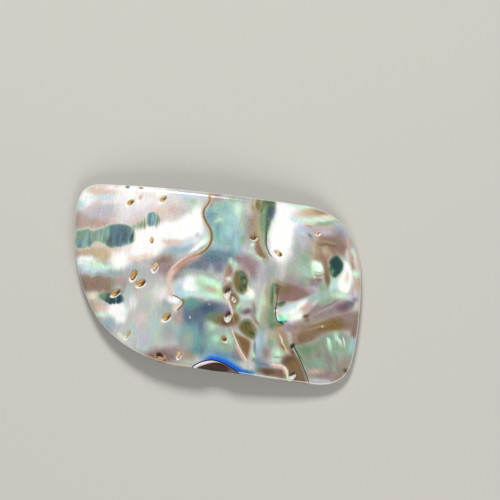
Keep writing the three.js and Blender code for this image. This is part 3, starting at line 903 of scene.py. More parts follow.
    ("pale_mint", 20.2, 13.5, 1.4, 0.4, -25, 0.8),
    ("pale_mint", 18.8, 13.0, 2.0, 0.5, -10, 1.0),
    ("cream", 19.0, 13.4, 1.2, 0.4, -14, 1.0),
    ("sage", 18.6, 12.3, 2.0, 0.35, 14, 1.0),
    ("cream", 15.5, 12.0, 0.8, 0.35, 0, 0.8),
    ("tan", 15.5, 11.75, 0.5, 0.12, 0, 0.8),
    ("sage", 15.8, 11.4, 0.25, 0.15, 0, 0.9),
    ("rose", 18.4, 11.3, 2.2, 0.5, 12, 0.9),
    ("lilac", 20.8, 12.1, 1.3, 0.4, -30, 0.9),
    ("dusk_violet", 21.2, 11.3, 1.3, 0.6, -28, 0.9),
    ("mauve", 19.6, 10.5, 2.6, 0.8, -4, 0.7),
    ("taupe_brown", 19.7, 9.0, 2.8, 1.9, 0, 0.5),
    ("taupe_brown", 18.9, 6.6, 1.6, 1.8, 0, 0.8),
    ("tan", 18.0, 8.0, 1.2, 0.25, 5, 0.9),
    ("tan", 18.8, 9.2, 1.6, 0.2, 5, 0.9),
    ("brown", 19.2, 8.6, 1.8, 0.25, 6, 0.9),
    ("lilac", 18.0, 10.9, 1.6, 0.6, 5, 1.0),
    ("tan", 17.3, 6.4, 0.9, 1.6, 0, 0.8),
    ("beige", 16.8, 7.4, 0.4, 1.8, 0, 1.0),
    ("lime_tan", 16.6, 5.4, 0.5, 1.2, 0, 1.0),
    ("beige", 18.7, 7.2, 0.7, 0.8, 0, 1.0),
    ("rose_brown", 21.5, 8.4, 0.9, 1.3, 0, 0.9),
    ("dusk_rose", 23.0, 9.8, 1.3, 0.3, -64, 1.0),
    ("mint", 23.7, 8.3, 0.4, 0.7, 15, 0.8),
    ("misty_rose", 22.9, 7.4, 0.4, 1.0, 14, 0.8),
    ("cream", 24.3, 7.2, 0.25, 1.2, 16, 0.8),
    ("taupe", 23.8, 6.0, 0.3, 1.6, 12, 0.9),
    ("peach", 24.5, 5.6, 0.4, 1.6, 12, 0.9),
    ("pale_mint", 24.5, 4.0, 0.8, 0.7, 0, 0.8),
    ("beige", 24.9, 1.8, 0.6, 1.2, 0, 0.9),
    # Dark eye at the right end, mint block and white flare
    ("grey_mint", 15.4, 3.8, 1.2, 1.6, 0, 0.9),
    ("sage", 15.2, 5.4, 0.8, 0.9, 0, 1.0),
    ("mauve", 16.8, 1.7, 1.8, 0.7, 0, 0.8),
    ("sage", 15.6, 1.7, 0.9, 0.6, 0, 0.9),
    ("warm_brown", 18.9, 4.6, 3.1, 0.45, -74, 0.5),
    ("brown", 19.5, 2.3, 1.3, 0.4, -66, 0.7),
    ("pale_mint", "mint_block", 0.0, 0.4),
    ("white", 18.0, 4.3, 0.45, 0.6, -8, 1.0, "mint_block"),
    ("white", 17.3, 4.9, 0.5, 0.3, 0, 0.9, "mint_block"),
    ("tan", 17.8, 3.7, 0.6, 0.07, -10, 1.0),
    ("lime", 17.0, 3.0, 0.9, 0.2, -72, 0.7),
    ("tan", 17.9, 3.1, 0.9, 0.2, 0, 0.9),
    ("rose_brown", 17.7, 2.3, 0.8, 0.3, 0, 0.9),
    ("sage", 18.9, 0.8, 1.0, 0.8, 0, 0.9),
    ("ice", 21.0, 1.5, 0.8, 1.2, 0, 0.7),
    ("mint", 20.9, 2.2, 0.3, 0.6, 0, 0.9),
    ("white", "white_flare", 0.0, 0.4),
    ("cream", 22.9, 3.2, 0.35, 0.8, 0, 1.0, "white_flare"),
    ("beige", 19.5, 6.0, 0.25, 0.9, -14, 0.9),
    ("fern", "right_eye", 0.0, 0.16),
    ("pine", "right_eye", 0.28, 0.28),
    ("pine", 20.9, 4.9, 0.9, 1.5, -5, 0.8, "right_eye"),
    ("ink", 20.9, 5.2, 0.3, 0.5, 0, 1.0, "right_eye"),
    ("leaf", 20.2, 3.9, 0.3, 0.5, 0, 1.0, "right_eye"),
    ("grey_mint", 21.2, -0.2, 1.8, 0.8, 5, 0.9),
    ("pale_mint", 22.3, -0.1, 1.2, 0.6, 5, 1.0),
    ("lilac", 24.8, 0.5, 0.8, 0.9, 0, 0.8),
    ("violet", 24.6, -0.4, 0.5, 0.5, 0, 0.9),
    # Middle of the right half
    ("lilac", 7.6, 2.6, 1.4, 1.5, 0, 0.9),
    ("fog", 9.8, 2.4, 1.5, 1.8, 0, 0.8),
    ("mist_blue", 6.6, 0.6, 0.6, 0.8, 0, 0.9),
    ("white", 6.4, -1.7, 0.8, 1.1, 0, 0.6),
    ("ice", 5.4, -2.4, 0.8, 0.5, -10, 0.8),
    ("mauve", 6.3, 2.4, 1.4, 0.4, -58, 1.0),
    ("taupe", 5.5, 3.4, 1.6, 0.4, -58, 1.0),
    ("mauve", 5.6, 3.2, 1.9, 1.2, -40, 1.0),
    ("mauve", 3.9, 3.9, 0.9, 0.5, -10, 1.0),
    ("mint", 2.3, 3.4, 0.4, 0.7, 0, 0.8),
    ("mint", 3.2, 3.1, 0.4, 0.5, 0, 1.0),
    ("warm_brown", 2.3, 1.9, 0.5, 0.9, 0, 0.8),
    ("tan", 1.8, 1.4, 0.25, 1.6, -6, 0.9),
    ("pale_mint", 2.2, 0.7, 0.45, 0.3, 0, 0.9),
    ("warm_brown", 2.5, -0.5, 0.5, 0.9, 0, 0.6),
    ("brown", 2.4, -1.3, 0.75, 0.8, 0, 0.6),
    ("olive", 2.1, -1.7, 0.3, 0.9, 0, 0.8),
    ("brown", 3.7, -2.9, 1.5, 0.7, -70, 0.6),
    ("umber", 3.3, -2.4, 0.6, 0.3, -60, 0.9),
    ("tan", 4.0, -4.2, 0.9, 0.35, -75, 0.9),
    ("tan", "upper_eye", -0.2, 0.3),
    ("leaf", "upper_eye", 0.0, 0.3),
    ("moss", "upper_eye", 0.3, 0.35),
    ("olive", 4.15, 0.1, 0.45, 1.6, 14, 1.0, "upper_eye"),
    ("gold_brown", 3.9, 0.2, 0.3, 1.1, 10, 0.9, "upper_eye"),
    ("brown", 4.2, 0.8, 0.28, 0.35, 0, 0.8, "upper_eye"),
    ("deep_moss", 5.3, 0.5, 0.5, 1.4, 18, 0.8, "upper_eye"),
    ("fern", 5.35, 0.35, 0.45, 0.4, 0, 0.9, "upper_eye"),
    ("fern", 4.6, 1.5, 0.5, 0.3, 0, 1.0, "upper_eye"),
    ("deep_moss", 4.7, -0.9, 0.14, 0.7, 20, 0.8, "upper_eye"),
    ("cream", 6.15, -0.6, 0.15, 0.8, 0, 0.9),
    ("mint", 4.65, -4.3, 0.3, 0.9, 4, 0.6),
    ("sage", 5.1, -5.0, 0.5, 0.7, 10, 0.9),
    ("plum", 6.3, -4.9, 0.7, 0.5, 10, 0.9),
    ("mauve", 7.3, -4.6, 1.3, 0.35, -70, 0.9),
    ("warm_brown", 8.2, -6.3, 0.8, 0.25, -55, 0.8),
    ("mint", 8.5, -2.9, 0.28, 1.6, -6, 0.8),
    ("mint", 8.4, -5.4, 0.4, 0.6, 20, 0.8),
    ("cream", 9.15, -2.6, 0.25, 2.0, 0, 0.8),
    ("lime_tan", 9.3, -5.2, 0.5, 1.2, 0, 0.8),
    ("sage", 9.3, -7.2, 0.8, 0.9, 0, 0.8),
    ("tan", "lower_eye", -0.2, 0.3),
    ("leaf", "lower_eye", 0.0, 0.3),
    ("deep_moss", "lower_eye", 0.35, 0.4),
    ("olive", 6.6, -7.9, 0.95, 0.85, -30, 0.9, "lower_eye"),
    ("gold_brown", 6.35, -7.8, 0.5, 0.55, 0, 0.9, "lower_eye"),
    ("umber", 6.45, -7.8, 0.25, 0.4, 0, 0.9, "lower_eye"),
    ("olive", 7.2, -9.1, 0.7, 0.25, -15, 0.9, "lower_eye"),
    ("warm_brown", 8.0, -8.1, 0.2, 1.0, 28, 1.0),
    ("beige", "brown_sail", -0.1, 0.35),
    ("brown", "brown_sail", 0.15, 0.45),
    ("gold_brown", 6.5, -10.8, 0.5, 1.2, 20, 1.0, "brown_sail"),
    ("mint", 8.0, -12.5, 0.3, 0.8, 0, 0.6),
    ("leaf", 8.3, -13.3, 0.5, 0.4, 0, 0.9),
    ("mist_blue", 9.4, -10.6, 0.8, 2.6, 0, 0.8),
    ("sky", 8.7, -9.7, 0.5, 1.2, 0, 0.9),
    ("steel", 8.2, -11.0, 0.25, 1.0, 12, 0.9),
    ("lake", 9.4, -13.8, 0.8, 1.2, 0, 0.9),
    ("azure", 7.9, -15.5, 1.5, 0.45, -4, 0.8),
    ("royal", 6.9, -15.4, 0.8, 0.4, -16, 0.7),
    ("sky", 9.2, -15.6, 0.8, 0.3, 0, 0.8),
    # Mossy strip, pane and wedge
    ("taupe", 19.9, -3.3, 4.4, 1.7, 24, 0.6),
    ("lime_tan", 9.9, -2.0, 0.7, 3.0, 0, 0.8),
    ("beige", 11.0, 1.1, 0.9, 0.25, -10, 0.8),
    ("leaf", 10.6, -5.2, 0.8, 1.8, 0, 0.7),
    ("leaf", "moss_strip", 0.0, 0.16),
    ("moss", 10.4, -1.7, 0.16, 1.6, 0, 0.7, "moss_strip"),
    ("deep_moss", 11.3, 0.3, 0.5, 0.25, 0, 0.9, "moss_strip"),
    ("sage", 10.75, -1.4, 0.12, 1.3, 0, 0.9, "moss_strip"),
    ("tan", 11.0, -2.2, 0.12, 1.6, 0, 0.8),
    ("fern", 11.2, -6.7, 0.7, 0.7, -40, 0.7),
    ("olive", 12.2, -6.8, 0.6, 0.35, -20, 0.7),
    ("mauve", 14.3, 0.3, 2.6, 1.0, -12, 0.9),
    ("rose_brown", "brown_pane", 0.1, 0.4),
    ("brown", 12.6, -0.4, 1.3, 0.8, 0, 1.0, "brown_pane"),
    ("rose_brown", 13.8, -1.6, 1.9, 0.6, 6, 1.0, "brown_pane"),
    ("umber", 11.3, -0.6, 0.3, 0.7, -10, 0.8),
    ("tan", 11.9, 0.9, 0.8, 0.3, -10, 0.9),
    ("pearl", "pale_wedge", 0.1, 0.3),
    ("sky", 12.8, -3.7, 1.6, 0.35, 30, 0.8, "pale_wedge"),
    ("ice", 14.2, -3.4, 1.8, 0.5, 34, 0.9, "pale_wedge"),
    ("white", 14.6, -4.3, 2.0, 0.6, 34, 0.9, "pale_wedge"),
    ("white", 15.6, -2.6, 1.2, 0.3, 44, 1.0, "pale_wedge"),
    ("misty_rose", 15.7, -3.7, 1.6, 0.3, 46, 0.9, "pale_wedge"),
    ("rose", 16.5, -3.1, 2.2, 0.55, 54, 0.8, "pale_wedge"),
    ("grey_mint", 17.6, -1.2, 1.0, 0.5, 40, 1.0, "pale_wedge"),
    ("pale_mint", 13.2, -5.2, 1.6, 0.5, 12, 0.7, "pale_wedge"),
    ("bright_mint", 12.1, -5.3, 0.7, 0.35, -20, 0.7, "pale_wedge"),
    ("turquoise", 12.4, -5.8, 0.8, 0.18, 4, 0.7, "pale_wedge"),
    ("peach", 11.9, -4.8, 0.35, 0.15, -10, 0.9, "pale_wedge"),
    ("white", 11.35, -4.4, 0.3, 0.16, 30, 0.7),
    ("white", 11.6, -5.4, 0.1, 0.5, 16, 0.7),
    ("fern", 12.15, -3.15, 0.9, 0.5, 15, 0.4),
    ("moss", 12.3, -3.0, 0.5, 0.25, 12, 0.9),
    ("near_black", 12.3, -6.25, 0.5, 0.12, -4, 0.7),
    ("umber", 13.0, -6.2, 0.5, 0.14, 8, 0.8),
    ("grey_mint", 17.6, -0.8, 1.4, 0.5, 28, 0.9),
    ("lilac", 14.3, -6.2, 1.5, 0.35, 22, 0.8),
    ("mauve", 14.2, -7.0, 1.3, 0.5, 22, 0.9),
    ("dusk_violet", 13.4, -7.2, 0.7, 0.5, 20, 1.0),
    ("misty_rose", 14.6, -5.5, 1.0, 0.35, 32, 1.0),
    ("pearl", 15.0, -4.8, 1.3, 0.5, 34, 1.0),
    ("white", 15.0, -5.1, 1.0, 0.5, 34, 1.0),
    ("mauve", 18.6, -3.7, 1.6, 1.0, 30, 0.9),
    ("umber", 16.8, -4.8, 0.65, 0.3, 22, 0.8),
    ("umber", 16.7, -5.5, 0.5, 0.2, 22, 0.9),
    ("grey_mint", 19.0, -0.8, 0.9, 1.2, 0, 0.9),
    ("sage", 20.2, -1.6, 1.0, 0.8, 20, 0.9),
    ("dusk_rose", 19.8, -3.0, 2.4, 0.3, 38, 0.9),
    ("lilac", 21.2, -2.3, 1.2, 0.25, 38, 1.0),
    ("plum", 20.2, -2.4, 1.8, 0.1, 42, 1.0),
    # Right end, lower part
    ("mauve", 22.0, -2.6, 1.8, 0.8, 20, 0.9),
    ("plum", 23.1, -2.1, 1.0, 0.8, 20, 1.0),
    ("storm", 23.9, -1.2, 0.7, 0.4, -10, 1.0),
    ("misty_rose", 25.2, -1.2, 0.4, 1.0, 0, 0.9),
    ("taupe", 16.4, -6.4, 2.0, 0.8, 20, 0.8),
    ("taupe_brown", "brown_band", 0.1, 0.9),
    ("gold_brown", 21.6, -5.2, 3.8, 0.9, 17, 0.9, "brown_band"),
    ("gold_brown", 21.2, -5.7, 2.0, 0.45, 17, 0.8, "brown_band"),
    ("brown", 16.4, -8.5, 1.9, 0.9, 22, 1.0, "brown_band"),
    ("tan", 18.6, -6.2, 1.8, 0.2, 20, 0.9, "brown_band"),
    ("mauve", 24.3, -4.0, 1.4, 1.2, 0, 1.0, "brown_band"),
    ("rose_brown", 24.8, -6.2, 0.6, 0.8, 0, 0.8),
    ("sage_field", "green_field", 0.2, 0.8),
    ("leaf", 17.2, -10.2, 1.4, 0.8, 10, 0.9, "green_field"),
    ("grey_mint", 22.6, -9.2, 2.0, 1.2, 0, 0.9, "green_field"),
    ("silver_sage", 23.6, -11.2, 1.2, 1.6, 0, 1.0, "green_field"),
    ("taupe", 18.2, -11.2, 1.5, 0.25, 10, 0.9, "green_field"),
    ("taupe", 17.9, -12.4, 1.2, 0.25, 14, 0.9, "green_field"),
    ("dull_sea", 19.4, -12.4, 2.0, 0.8, 4, 0.9, "green_field"),
    ("dull_sea", 22.4, -13.0, 0.9, 0.8, -40, 0.9, "green_field"),
    ("mauve", 20.9, -11.0, 2.2, 0.25, -60, 0.8),
    ("mauve", 21.3, -12.6, 1.4, 0.2, -56, 0.9),
    ("taupe", 22.6, -11.3, 2.0, 0.2, -68, 0.9),
    ("leaf", 22.7, -9.2, 0.9, 0.3, 6, 0.9),
    ("sage", 22.6, -8.9, 1.3, 0.9, 0, 1.0),
    ("pale_mint", 20.8, -8.5, 0.35, 0.75, 20, 0.5),
    ("mint", 21.1, -9.3, 0.35, 0.5, 20, 0.8),
    ("mint", 22.0, -7.3, 0.45, 0.7, 20, 0.7),
    ("pale_mint", 22.4, -7.9, 0.2, 0.6, 24, 0.8),
    ("white", 23.2, -7.7, 0.1, 0.8, 22, 0.7),
    ("cream", 22.75, -8.0, 0.1, 0.6, 22, 0.7),
    ("fog", 24.0, -8.0, 0.1, 1.2, 18, 0.8),
    ("aqua", 25.0, -8.6, 0.6, 1.4, 0, 0.8),
    ("taupe", 23.9, -12.0, 0.9, 1.8, -20, 1.0),
    ("umber", 24.5, -12.9, 0.4, 0.4, 0, 0.8),
    ("mauve", 20.6, -14.3, 2.8, 0.9, 3, 0.8),
    ("rose", 19.0, -13.9, 1.2, 0.5, 10, 0.9),
    ("taupe", 23.0, -14.2, 1.0, 0.5, 30, 0.9),
    ("lilac", 20.0, -15.6, 2.4, 0.35, 3, 0.7),
    # Left of the crack
    ("tan", 13.2, -9.4, 3.0, 0.85, -54, 0.5),
    ("lime_tan", 11.3, -8.6, 1.2, 0.5, -60, 0.9),
    ("taupe", 14.6, -8.3, 1.2, 0.4, -50, 0.9),
    ("cream", 12.7, -9.0, 1.0, 0.14, -58, 0.7),
    ("cream", 13.5, -10.4, 0.8, 0.14, -62, 0.7),
    ("brown", 13.1, -9.9, 0.9, 0.1, -60, 0.8),
    ("beige", 14.0, -10.7, 0.7, 0.1, -58, 0.8),
    ("sage", 11.2, -9.6, 0.6, 0.9, 0, 0.9),
    ("mauve", 10.6, -11.6, 0.7, 1.3, 0, 0.9),
    ("mint", 12.3, -11.2, 0.7, 0.7, 0, 0.7),
    ("pale_mint", 12.3, -11.3, 0.35, 0.35, 0, 0.9),
    ("mint", 12.5, -12.7, 0.6, 0.4, 0, 0.8),
    ("leaf", 12.5, -12.1, 0.7, 0.1, 10, 0.8),
    ("storm_mauve", 10.9, -13.8, 1.6, 0.5, -10, 1.0),
    ("lilac", 12.6, -14.0, 1.2, 0.3, -14, 0.8),
    ("umber", 11.4, -15.0, 2.0, 0.6, -4, 0.7),
    ("brown", 13.2, -15.0, 0.9, 0.6, 0, 0.8),
    ("brown", "brown_knot", 0.1, 0.5),
    ("umber", 14.7, -12.6, 1.1, 1.0, 0, 1.0),
    ("gold_brown", 15.4, -13.4, 0.9, 0.9, 0, 0.9),
    ("brown", 16.4, -14.4, 0.6, 1.5, 32, 0.9),
    ("umber", 15.2, -15.3, 0.9, 0.7, 0, 0.8),
    ("umber", 14.9, -10.9, 0.8, 0.25, -58, 0.9),
    ("green_sliver", 15.9, -11.1, 1.9, 0.2, -57, 0.6),
    ("deep_moss", 14.75, -9.65, 0.5, 0.32, 40, 0.6),
    ("near_black", 14.8, -9.8, 0.25, 0.16, 40, 0.6),
    # Small pale spots
    ("white", 19.5, -6.1, 0.14, 0.14, 0, 0.6),
    ("ice", -3.6, -6.6, 0.16, 0.2, 0, 0.6),
    ("ice", -0.5, -4.25, 0.14, 0.12, 0, 0.6),
    # A painted glint beside the pit at (2.85, -10.1).
    ("white", 3.4, -10.95, 0.2, 0.14, -30, 0.6),
]

# Lines on the crown, each drawn along its mark: colour, half width, softness, offset to the left of the
# mark, and the two shares of its length between which it shows.
LINES = [
    ("growth_line", "beige", 0.2, 0.9, -0.26, 0.0, 0.6),
    ("growth_line", "tan", 0.35, 0.8, 0.0, 0.0, 0.1),
    ("growth_line", "line_brown", 0.17, 0.6, 0.0, 0.07, 0.6),
    ("growth_line", "olive", 0.1, 0.9, 0.16, 0.3, 0.56),
    ("growth_line", "salmon", 0.55, 0.8, 0.1, 0.58, 0.84),
    ("growth_line", "peach", 0.15, 1.0, -0.4, 0.66, 0.84),
    ("growth_line", "misty_peach", 0.45, 1.0, 0.0, 0.8, 1.0),
    ("notch", "gold_brown", 0.12, 0.7, 0.0, 0.0, 0.5),
    ("notch", "gold_brown", 0.2, 1.0, 0.16, 0.42, 0.95),
    ("notch", "cream", 0.12, 0.7, -0.15, 0.5, 1.0),
    ("green_strip_edge", "deep_moss", 0.09, 0.6, 0.0, 0.3, 1.0),
    ("moss_strip_edge", "umber", 0.12, 0.7, 0.0, 0.0, 0.55),
    ("moss_strip_edge", "near_black", 0.08, 0.7, 0.0, 0.5, 1.0),
    ("crack", "near_black", 0.07, 0.6, 0.0, 0.0, 1.0),
    ("cream_line_upper", "rose_cream", 0.16, 0.8, 0.0, 0.0, 1.0),
    ("cream_line_lower", "rose", 0.2, 1.0, -0.3, 0.45, 1.0),
    ("cream_line_lower", "cream", 0.09, 0.8, 0.0, 0.0, 1.0),
    ("cream_wave", "rose", 0.25, 0.9, -0.25, 0.0, 0.7),
    ("cream_wave", "rose_cream", 0.14, 0.8, 0.0, 0.0, 0.45),
    ("cream_wave", "cream", 0.16, 0.7, 0.0, 0.4, 0.75),
    ("cream_wave", "lime", 0.2, 0.6, 0.0, 0.72, 1.0),
    ("right_line", "dusk_rose", 0.2, 1.0, 0.0, 0.1, 0.9),
]


def linear(display):
    """Light that a display gives for each number: ((c + 0.055) / 1.055) to the power 2.4."""
    return ((np.array(display) + 0.055) / 1.055) ** 2.4


def opaque(display):
    """One display colour as the four numbers that a socket takes."""
    return (*linear(display), 1.0)


def give_values(mesh, name, values):
    """Stores one number or one set of three for each point of the mesh."""
    kind, key = ("FLOAT_VECTOR", "vector") if values.ndim == 2 else ("FLOAT", "value")
    mesh.attributes.new(name, kind, "POINT").data.foreach_set(key, values.astype(np.float32).ravel())


point_x, point_y, point_z = points.T
for name, (_, _, mark) in MARKS.items():
    distance, share = along_line(point_x, point_y, through_points(mark))
    give_values(shell_mesh, name, np.column_stack([distance, share, np.zeros(len(points))]))

# How far each point lies outside the scoop's brow and, on the rim and sides, below the crown.
below_crown = crown(point_x, point_y) - point_z
below_crown[: top_number.size] = 0
give_values(shell_mesh, "out_of_brow", brow_y(point_x) - point_y)
give_values(shell_mesh, "below_crown", below_crown)

# The flushes' edges wander: slowly everywhere, and in fine upright combs on the left third.
WANDER_STEPS = [(3.4, 3.4, 0.8), (0.9, 0.9, 0.3)]  # spacing in x, in y, and how far
COMB_STEPS = [(0.42, 9.0, 0.28), (0.19, 5.0, 0.18)]
COMB_ELSEWHERE = 0.1  # share of the combs that there is all over, on top of the left third's own
LEFT_THIRD = (-12.0, -3.0)  # x where the combs begin to fade, and where they have faded
PATCH_WANDER = 0.25  # share of the wander that a patch's edge follows
KEPT_WANDER = 0.4  # share of it that a flush follows that stays within a patch
KEPT_DEPTHS = (-0.1, 0.15)  # depths in the patch between which such a flush comes in
NOTCH_STEPS = (0.3, 8.0)  # spacing in x and in y of the notches in a patch's lower edge
PATCH_MARGIN = 1.5  # how far round a patch its depth is worked out
FAR_OUTSIDE = -9.0  # depth that is given beyond that
SCAR_STREAKS = (0.17, 2.0, 0.34)  # spacing in x and y of the streaks in the left scars, and how strong
SCAR_EDGE = 0.3  # depth at which those streaks are full
MOTTLES = [(2.2, 0.03), (0.8, 0.02), (0.33, 0.02)]  # spacing, and how much of each colour comes and goes
MOTTLE_STRETCH = 1.6  # how much longer they are in y than in x
PALEST = 1.0
DARKEST = 0.02

VIVIDNESS = 0.98  # share of each colour's difference from its own grey that is kept
DEEPENING = 0.12  # power of that grey which darkens the colours a little and leaves white as it is

# Each pit's tones: the wall's gold with a painted glow, as of light shining through the shell from behind,
# painted shade on the deep part, and a painted highlight on the lip that faces the light.
PIT_TONES_AND_PAINTED_LIGHT = {
    "gold": ((1.0, 0.82, 0.48), (0.30, 0.22, 0.15), (1.0, 0.98, 0.95)),
    "pale": ((1.0, 0.92, 0.76), (0.50, 0.37, 0.24), (1.0, 0.98, 0.95)),
    "brown": ((0.88, 0.67, 0.43), (0.38, 0.26, 0.17), (0.92, 0.86, 0.78)),
    "glint": ((0.88, 0.87, 0.86), (0.42, 0.32, 0.24), (0.95, 0.94, 0.92)),
    "burnt": ((0.64, 0.45, 0.31), (0.34, 0.20, 0.12), (0.80, 0.68, 0.58)),
}
PIT_KINDS = (  # in the order of the borings
    "gold pale gold gold pale gold gold gold gold pale "
    "burnt pale brown glint pale glint brown pale pale glint"
).split()
DEEP_SHADE_SIDE = {  # direction of the deep part's painted shade from the middle of the pit, and where it starts, in radii
    "gold": (0.80, -0.60, 0.12),
    "pale": (0.80, -0.60, 0.18),
    "brown": (0.4, -0.92, -0.1),
    "glint": (-0.62, 0.78, 0.0),
    "burnt": (-0.90, -0.40, -0.5),
}
LIGHT_FROM = (-0.35, 0.94)  # direction, seen from above, in which the pits' lit sides face
WALL_END = (0.94, 1.06)  # radii, in the pit's own half sizes, between which the wall's painted glow ends
DEEP_SHADE_EDGE = 0.12  # half width of the edge of the deep part's painted shade, in the same measure
SHADE_RING = (1.1, 1.28)  # where the ring of painted shade on the side of the light ends
SHADE_TURN = (-0.1, 0.5)  # cosines to the light between which that ring comes in
SHADE_STRENGTH = 0.45
LIP_HIGHLIGHT_START = (0.82, 0.94)
LIP_HIGHLIGHT_END = (1.26, 1.42)
LIP_HIGHLIGHT_TURN = (-0.45, 0.05)  # cosines to the light between which the lip's painted highlight goes out

# Each use of random numbers has seeds of its own: the wander from 0 and from 10, the combs from 20, the
# notches 30, the scars' streaks 50 and the mottles from 60.
LATTICE = 128  # random numbers each way before they repeat


def between_random(x, y, step_x, step_y, seed):
    """Random numbers from -0.5 to 0.5 on a lattice, with smooth steps from each to the next."""
    table = np.random.default_rng(seed).random((LATTICE, LATTICE)) - 0.5
    column, across = np.divmod(x / step_x, 1)
    row, up = np.divmod(y / step_y, 1)
    column, row = column.astype(int) % LATTICE, row.astype(int) % LATTICE
    next_column, next_row = (column + 1) % LATTICE, (row + 1) % LATTICE
    across, up = smooth_step(across, 0, 1), smooth_step(up, 0, 1)
    low = table[column, row] * (1 - across) + table[next_column, row] * across
    high = table[column, next_row] * (1 - across) + table[next_column, next_row] * across
    return low * (1 - up) + high * up


def depth_in_patch(x, y, patch):
    """Distance in from the patch's edge, a smooth closed line, and below 0 outside it. Fine notches of
    random length are taken off its lower edge."""
    comb, corners = PATCHES[patch]
    line = through_points([corners[-1], *corners, *corners[:2]], 6)[6:-6]
    low, high = line.min(axis=0), line.max(axis=0)
    near = (x > low[0] - PATCH_MARGIN) & (x < high[0] + PATCH_MARGIN)
    near &= (y > low[1] - PATCH_MARGIN) & (y < high[1] + PATCH_MARGIN)
    depth = np.full(x.shape, FAR_OUTSIDE)
    turning = np.sum(line[:-1, 0] * line[1:, 1] - line[1:, 0] * line[:-1, 1])
    depth[near] = along_line(x[near], y[near], line)[0] * np.sign(turning)
    lower_half = 1 - smooth_step(y, low[1], (low[1] + high[1]) / 2)
    return depth - comb * lower_half * np.abs(2 * between_random(x, y, *NOTCH_STEPS, 30))


def paint_pit_light_and_shade(x, y, shades):
    """Lays each pit's tones over the given shades, by the radius in the pit's own ellipse: a ring of painted
    shade on the side of the light, the wall's painted glow inside it, painted shade on the deep part beyond a
    line across it, and a painted highlight on the lip as a crescent round the side far from the light."""
    for kind, boring in zip(PIT_KINDS, BORINGS):
        wall, deep, lip = (np.array(tone) for tone in PIT_TONES_AND_PAINTED_LIGHT[kind])
        radius = boring_radius(x, y, boring)
        off_x, off_y = x - boring[0], y - boring[1]
        away = np.maximum(np.hypot(off_x, off_y), LEAST)
        to_light = (off_x * LIGHT_FROM[0] + off_y * LIGHT_FROM[1]) / away
        side_x, side_y, deep_from = DEEP_SHADE_SIDE[kind]
        to_deep = radius * (off_x * side_x + off_y * side_y) / away
        ring = (1 - smooth_step(radius, *SHADE_RING)) * smooth_step(to_light, *SHADE_TURN)
        crescent = smooth_step(radius, *LIP_HIGHLIGHT_START) * (1 - smooth_step(radius, *LIP_HIGHLIGHT_END))
        crescent = crescent * (1 - smooth_step(to_light, *LIP_HIGHLIGHT_TURN))
        inside = 1 - smooth_step(radius, *WALL_END)
        for tone, share in (
            (deep, SHADE_STRENGTH * ring),
            (wall, inside),
            (deep, inside * smooth_step(to_deep, deep_from - DEEP_SHADE_EDGE, deep_from + DEEP_SHADE_EDGE)),
            (lip, crescent),
        ):
            shades = shades + (tone - shades) * share[:, None]
    return shades


def flushed(x, y):
    """Display colour of each place on the crown: each flush is laid over those before it, in full where
    its turned ellipse's radius is under 1 - soft, and fading smoothly to nothing at 1 + soft. A patch is
    in full where it is deeper than its inset and softness added together."""
    left = 1 - smooth_step(x, *LEFT_THIRD)
    away_x, away_y = np.zeros(len(x)), np.zeros(len(x))
    for seed, (step_x, step_y, reach) in enumerate(WANDER_STEPS):
        away_x = away_x + reach * between_random(x, y, step_x, step_y, seed)
        away_y = away_y + reach * between_random(x, y, step_x, step_y, seed + 10)
    patch_x, patch_y = x + PATCH_WANDER * away_x, y + PATCH_WANDER * away_y
    depths = {patch: depth_in_patch(patch_x, patch_y, patch) for patch in PATCHES}
    for seed, (step_x, step_y, reach) in enumerate(COMB_STEPS):
        comb = between_random(x, y, step_x, step_y, seed + 20)
        away_y = away_y + reach * (COMB_ELSEWHERE + left) * comb
    shades = np.tile(COLOURS["silver"], (len(x), 1))
    for name, *place in FLUSHES:
        if isinstance(place[0], str):
            patch, inset, soft = place
            share = smooth_step(depths[patch], inset - soft, inset + soft)
        else:
            centre_x, centre_y, half_length, half_width, turn, soft = place[:6]
            ellipse = (centre_x, centre_y, half_length, half_width, turn, 0)
            kept = len(place) > 6
            wander = KEPT_WANDER if kept else 1.0
            radius = boring_radius(x + wander * away_x, y + wander * away_y, ellipse)
            share = 1 - smooth_step(radius, 1 - soft, 1 + soft)
            if kept:
                share = share * smooth_step(depths[place[6]], *KEPT_DEPTHS)
        shades = shades + (np.array(COLOURS[name]) - shades) * share[:, None]
    scars = smooth_step(np.maximum(depths["left_scar"], depths["small_scar"]), 0, SCAR_EDGE)
    streak_x, streak_y, strength = SCAR_STREAKS
    shades = shades * (1 + strength * scars * between_random(x, y, streak_x, streak_y, 50))[:, None]
    for number, (step, reach) in enumerate(MOTTLES):
        for part in range(3):
            seed = 60 + 3 * number + part
            shades[:, part] += reach * between_random(x, y, step, MOTTLE_STRETCH * step, seed)
    shades = np.clip(paint_pit_light_and_shade(x, y, shades), DARKEST, PALEST)
    grey = shades.mean(axis=1, keepdims=True)
    return (grey + (shades - grey) * VIVIDNESS) * grey**DEEPENING


give_values(shell_mesh, "flushed_colour", linear(flushed(point_x, point_y)))

# The underside's colours take in the lower round-over.
is_under = np.zeros(len(points))
is_under[count - len(low_rim) * (BOTTOM_EDGE_ROWS - 1) :] = 1
give_values(shell_mesh, "underside", is_under)

MIX_SOCKETS = {"RGBA": (0, 6, 7, 2), "FLOAT": (0, 2, 3, 0)}  # share, under, over and result


